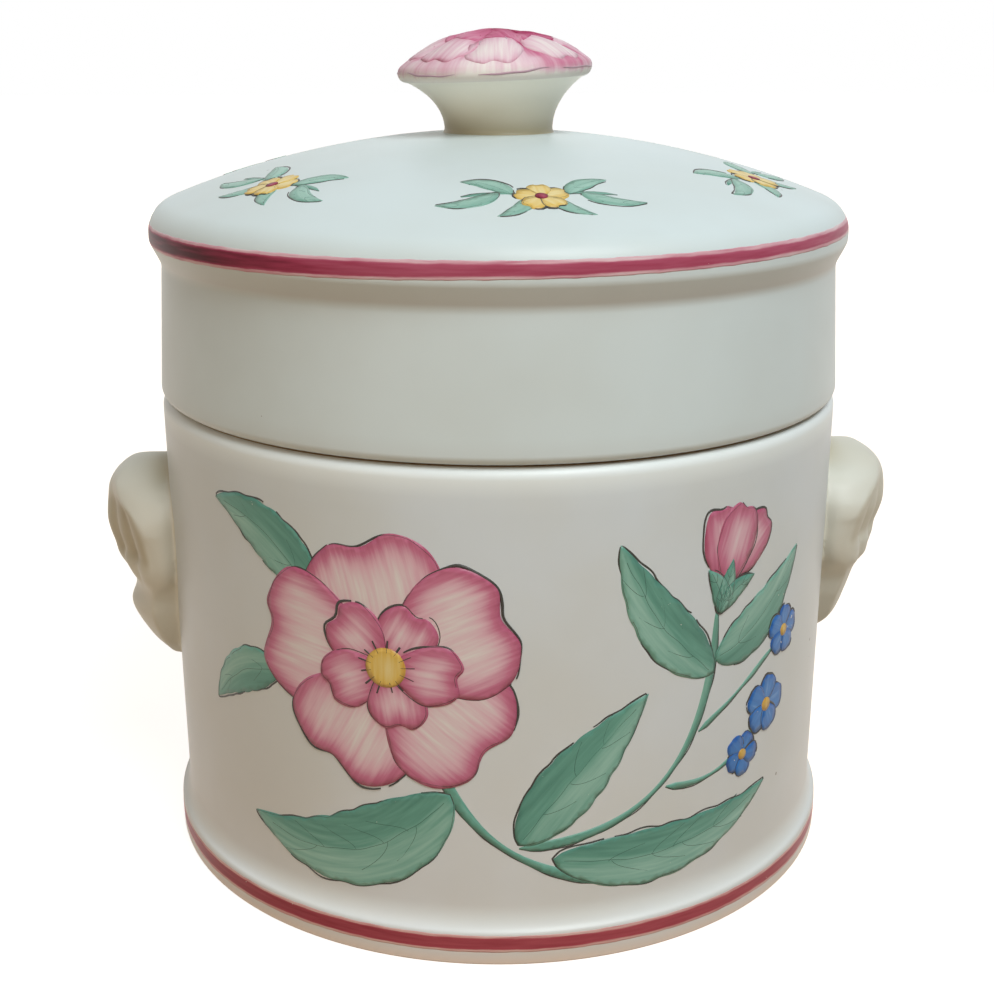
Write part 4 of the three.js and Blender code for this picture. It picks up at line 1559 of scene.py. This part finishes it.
# The sprigs' leaves get little paint: painted light, paler because the dome's top is lit
SPRIG_LINE, SPRIG_PAINTED_LIGHT_LOAD = 0.38, 0.35
SPRIG_LEAVES = [
    (((4, 1.6), (6.5, 5.5), (12, 5.6)), 3.2, 3),
    (((6, 1.7), (9, -2.6), (14, -2.4)), 2.8, 2),
    (((1.5, 0.5), (2.5, -3.5), (6.0, -5.2)), 2.4, 2),
]
for side in (-1, 1):
    stem(lid_painting, ((0, 0), (side * 5, 3.2), (side * 11, 0.4)), 0.8)
    for spine, width, teeth in SPRIG_LEAVES:
        mirrored = [(side * x, y) for x, y in spine]
        leaf(lid_painting, mirrored, width, layer=1, teeth=teeth, line=SPRIG_LINE, load=SPRIG_PAINTED_LIGHT_LOAD)
flower(
    lid_painting,
    heart_yellow,
    SPRIG_FLOWER,
    radius=3.9,
    count=5,
    start=0.3,
    layer=2,
    width=0.9,
    tone=lambda along, across, depth: 0.1 + 0.2 * along + 0.25 * np.exp(-depth / 0.5),
)
heart(lid_painting, rim_red, SPRIG_FLOWER, radius=0.9, layer=8, dots=0)
print("sprig skins:", {name: len(skin["faces"]) for name, skin in lid_painting.skins.items()})

# %% [markdown]
# The tree spreads points round the axis by their number, turns a copy of the sprig about Z at each one
# and makes the copies real. Each enamel of the sprig goes through it by itself.

# %% Set sprigs round the lid
round_lid, round_in = new_tree(
    "set_round_the_lid", Count="NodeSocketInt", Start="NodeSocketFloat", Finish="NodeSocketMaterial"
)
spots = add_node(round_lid, "GeometryNodePoints", {"Count": round_in["Count"]})
spot = add_node(round_lid, "GeometryNodeInputIndex").outputs[0]
share = add_node(round_lid, "ShaderNodeMath", {0: spot, 1: round_in["Count"]}, operation="DIVIDE")
spread = add_node(
    round_lid,
    "ShaderNodeMath",
    {0: share.outputs[0], 1: math.tau, 2: round_in["Start"]},
    operation="MULTIPLY_ADD",
)
about_z = add_node(round_lid, "ShaderNodeCombineXYZ", {"Z": spread.outputs[0]})
turn = add_node(round_lid, "FunctionNodeEulerToRotation", {0: about_z.outputs[0]})
copies = add_node(
    round_lid,
    "GeometryNodeInstanceOnPoints",
    {"Points": spots.outputs[0], "Instance": round_in["Geometry"], "Rotation": turn.outputs[0]},
)
close_tree(round_lid, copies.outputs[0], round_in["Finish"])

SPRIGS = 6
SPRIG_START = math.radians(4.0)
sprigs = []
for one, finish in laid_pieces("sprig_", lid_painting):
    sprigs.append(grow(one, round_lid, Count=SPRIGS, Start=SPRIG_START, Finish=finish))
print({piece.name: len(piece.data.polygons) for piece in sprigs})

# %% [markdown]
# ## The flower on the knob
# The pressed petals are picked out by hand: pale outer petals with pink rims, crimson inner ones, mauve
# strokes of painted shade by the grooves and a thin line round the edge. The drawing is flat again, and
# is wrapped over the crown and its edge by the distance along the knob's own section line.

# %% Wrap a drawing over the knob
crown_line = np.array(knob_top_line[::-1])
crown_run = np.r_[0, np.cumsum(np.linalg.norm(np.diff(crown_line, axis=0), axis=1))]
crown_out = np.gradient(crown_line, axis=0)
crown_out = np.c_[-crown_out[:, 1], crown_out[:, 0]] / np.linalg.norm(crown_out, axis=1)[:, None]


def on_knob(flat, lift):
    """Flat drawing to the knob: the middle is its top, up is away from the front."""
    run = np.hypot(flat[:, 0], flat[:, 1])
    turn = np.arctan2(flat[:, 1], flat[:, 0])
    reach, height = (np.interp(run, crown_run, crown_line[:, k]) for k in (0, 1))
    slope = [np.interp(run, crown_run, crown_out[:, k]) for k in (0, 1)]
    to_left, tilted = askew(reach * np.cos(turn), reach * np.sin(turn), height)
    pressed = height + petal_lift(reach, turn)[0] + tilted
    reach = reach + lift * slope[0]
    return np.c_[reach * np.cos(turn) + to_left, reach * np.sin(turn), pressed + lift * slope[1]]


print(f"from the knob's top to under its edge {crown_run[-1]:.1f} mm")

# %% Paint the knob's flower
def pale_tone(along, across, depth):
    """Pink at the rim and root of a petal, white between."""
    return 0.14 + 0.25 * np.exp(-((depth / 1.0) ** 1.3)) * along + 0.6 * np.exp(-((along / 0.35) ** 2))


def crimson_tone(along, across, depth):
    """Full crimson that thins towards the tip."""
    return 1.0 - 0.4 * along + 0.1 * np.exp(-depth / 0.5)


def loaded(tone, share):
    """The same tone with that share of the paint."""
    return lambda along, across, depth: share * tone(along, across, depth)


knob_painting = Painting(on_knob)
for ring, inner, outer, width, tone, layer in (
    (KNOB_PETALS, 4.0, 15.0, 9.4, pale_tone, 0),
    (KNOB_INNER_PETALS, 0.8, 9.0, 8.0, crimson_tone, 2),
):
    for k in range(ring):
        turn = math.tau * k / ring + hand.uniform(-0.1, 0.1)
        way = np.array([math.cos(turn), math.sin(turn)])
        end = outer * hand.uniform(0.9, 1.05)
        spine = [tuple(way * reach) for reach in (inner, (inner + outer) / 2, end)]
        paint = loaded(tone, hand.uniform(0.7, 1.25))
        petal(knob_painting, knob_pink, spine, width, layer + k % 2, paint, notch=0.05, line=0)
# Mauve strokes on the petals' flanks: painted shade where the relief dips into its grooves
for k in range(2 * KNOB_PETALS):
    turn = math.pi * (k + 0.5) / KNOB_PETALS + hand.uniform(-0.2, 0.2)
    way = np.array([math.cos(turn), math.sin(turn)])
    first = hand.uniform(5.5, 9.0)
    last = first + hand.uniform(1.0, 3.0)
    stroke = [way * first, way * last]
    width = hand.uniform(0.7, 1.5)
    knob_painting.draw(stroke, width, layer=3, wobble=0.15, taper=(0.3, 0.4), ink=line_mauve)
EDGE_STROKES = 7
for k in range(EDGE_STROKES):
    turns = math.tau * (k + np.linspace(0, hand.uniform(0.7, 0.95), 24)) / EDGE_STROKES
    edge_run = crown_run[-1] - 2.3 + 0.25 * np.sin(3 * turns + 1) + 0.15 * np.sin(7 * turns)
    rim_line = np.c_[edge_run * np.cos(turns), edge_run * np.sin(turns)]
    width = hand.uniform(0.22, 0.4)
    knob_painting.draw(rim_line, width, layer=2, wobble=0.1, taper=(0.2, 0.2), ink=line_mauve)
knob_flower = [piece for piece, _ in laid_pieces("knob_", knob_painting)]
print({piece.name: len(piece.data.polygons) for piece in knob_flower})

# %% [markdown]
# ## What rides on what
# Each piece is tied to a CAD body, so that it moves with that body. Pieces that stand for a CAD
# node hide it.

# %% Tie the pieces to the frame
for piece, node, slot in (
    (pot, "pot_body", "cream_glaze"),
    (left_lug, "left_handle", "lug_glaze"),
    (right_lug, "right_handle", "lug_glaze"),
    (lid, "lid", "lid_glaze"),
    (knob, "lid_knob", "knob_glaze"),
):
    body = "lid" if node.startswith("lid") else "pot"
    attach(piece, body)
    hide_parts(node)
for piece in (foot_stripe, *spray):
    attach(piece, "pot")
for piece in (rim_stripe, *sprigs, *knob_flower):
    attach(piece, "lid")

# %% [markdown]
# ## Floor, light and camera
# A pale floor and a large soft lamp above and to the right, as in a product photograph. The floor glows
# white for the rays that the eye follows, straight or in a gloss. It lights nothing with that, and still
# takes the pot's shadow.

# %% Floor and backdrop
FLOOR_REACH = 3.0
GLOW_NEAR, GLOW_FAR = 0.08, 0.4  # metres from the axis
GLOW_LEAST = 0.88  # near the pot, so that its shadow shows


def looked_at_ray(tree):
    """1 for rays that show something to the eye, straight or in a gloss, and 0 for rays that carry light."""
    path = add_node(tree, "ShaderNodeLightPath").outputs
    either = add_node(
        tree, "ShaderNodeMath", {0: path["Is Camera Ray"], 1: path["Is Glossy Ray"]}, operation="MAXIMUM"
    )
    seen = add_node(
        tree, "ShaderNodeMath", {0: either.outputs[0], 1: path["Is Transmission Ray"]}, operation="MAXIMUM"
    )
    return seen.outputs[0]


floor_mesh = bpy.data.meshes.new("floor")
corners = [(x * FLOOR_REACH, y * FLOOR_REACH, 0) for x, y in ((-1, -1), (1, -1), (1, 1), (-1, 1))]
floor_mesh.from_pydata(corners, [], [(0, 1, 2, 3)])
floor = new_piece("floor", floor_mesh)
paper, paper_tree, paper_shader, paper_place = new_finish("matt_white_paper")
paper_shader.inputs["Base Color"].default_value = linear("#bca488")
paper_shader.inputs["Roughness"].default_value = 0.9
paper_shader.inputs["Specular IOR Level"].default_value = 0.0
looked_at = looked_at_ray(paper_tree)
from_axis = add_node(paper_tree, "ShaderNodeVectorMath", {0: paper_place}, operation="LENGTH")
fade = add_node(
    paper_tree,
    "ShaderNodeMapRange",
    {
        "Value": from_axis.outputs["Value"],
        "From Min": GLOW_NEAR,
        "From Max": GLOW_FAR,
        "To Min": GLOW_LEAST,
        "To Max": 1.0,
    },
)
glow = add_node(paper_tree, "ShaderNodeMath", {0: looked_at, 1: fade.outputs[0]}, operation="MULTIPLY")
paper_shader.inputs["Emission Color"].default_value = linear("#ffffff")
paper_tree.links.new(glow.outputs[0], paper_shader.inputs["Emission Strength"])
floor_mesh.materials.append(paper)
print(f"floor {2 * FLOOR_REACH:.0f} m across")

# %% [markdown]
# The world only fills the shadows a little, but rays that show it to the eye see white. The large lamp
# stands high in front and to the right. A warm one fills the left, a broad one overhead lights the dome,
# and one behind lights the back for whoever walks round the pot.

# %% World and lamps
AMBIENT = 0.1
world = bpy.data.worlds.new("studio")
bpy.context.scene.world = world
world.use_nodes = True
world.node_tree.nodes.clear()
sky_light = add_node(
    world.node_tree, "ShaderNodeBackground", {"Color": linear("#f4efe8"), "Strength": AMBIENT}
)
sky_seen = add_node(world.node_tree, "ShaderNodeBackground", {"Color": linear("#ffffff"), "Strength": 1.0})
sky = add_node(
    world.node_tree,
    "ShaderNodeMixShader",
    {0: looked_at_ray(world.node_tree), 1: sky_light.outputs[0], 2: sky_seen.outputs[0]},
)
add_node(world.node_tree, "ShaderNodeOutputWorld", {"Surface": sky.outputs[0]})


def soft_lamp(name, place, target, size, watts, colour):
    """A square area lamp that faces a point, in metres."""
    lamp = bpy.data.lights.new(name, "AREA")
    lamp.size = size
    lamp.energy = watts
    lamp.color = linear(colour)[:3]
    fixture = bpy.data.objects.new(name, lamp)
    fixture.location = place
    fixture.rotation_euler = (Vector(target) - Vector(place)).to_track_quat("-Z", "Y").to_euler()
    bpy.context.scene.collection.objects.link(fixture)
    return fixture


MIDDLE = (0, 0, 0.07)
soft_lamp("key_softbox", (0.2, -0.45, 0.75), MIDDLE, size=0.4, watts=5.9, colour="#f4fbff")
soft_lamp("overhead_softbox", (0.0, 0.1, 0.95), MIDDLE, size=0.7, watts=0.75, colour="#f0fffb")
soft_lamp("left_fill", (-0.45, -0.55, 0.3), MIDDLE, size=0.5, watts=1.0, colour="#ffe9d0")
back_fill = soft_lamp("back_fill", (0.0, 0.9, 0.2), MIDDLE, size=0.4, watts=2.2, colour="#f4fbff")
back_fill.visible_glossy = False  # it would streak the dome's top
print("lamps:", ", ".join(light.name for light in bpy.data.lights))

# %% [markdown]
# The camera stands close to the pot, level with the top of its knob, and looks down a little. Its
# distance, height, pitch and focal length come from fitting the pot's rings to the photograph, in
# pixels.

# %% Camera
PHOTO_WIDTH_PX = 994
FOCAL_PX = 1500
AXIS_SHIFT_PX = 1.5
CAMERA_REACH = 0.24585
CAMERA_HEIGHT = 0.13123
CAMERA_PITCH = math.radians(17.34)
SENSOR_MM = 36
camera_data = bpy.data.cameras.new("photo_camera")
camera_data.sensor_fit = "HORIZONTAL"
camera_data.sensor_width = SENSOR_MM
camera_data.lens = SENSOR_MM * FOCAL_PX / PHOTO_WIDTH_PX
camera_data.shift_x = -AXIS_SHIFT_PX / PHOTO_WIDTH_PX
camera_data.clip_start = 0.01
camera = bpy.data.objects.new("photo_camera", camera_data)
camera.location = (CAMERA_REACH * math.sin(FRONT_TURN), -CAMERA_REACH * math.cos(FRONT_TURN), CAMERA_HEIGHT)
camera.rotation_euler = (math.pi / 2 - CAMERA_PITCH, 0, FRONT_TURN)
bpy.context.scene.collection.objects.link(camera)
bpy.context.scene.camera = camera
bpy.context.scene.view_settings.view_transform = "Standard"
print(f"camera {camera_data.lens:.1f} mm lens, {CAMERA_REACH:.3f} m from the axis")
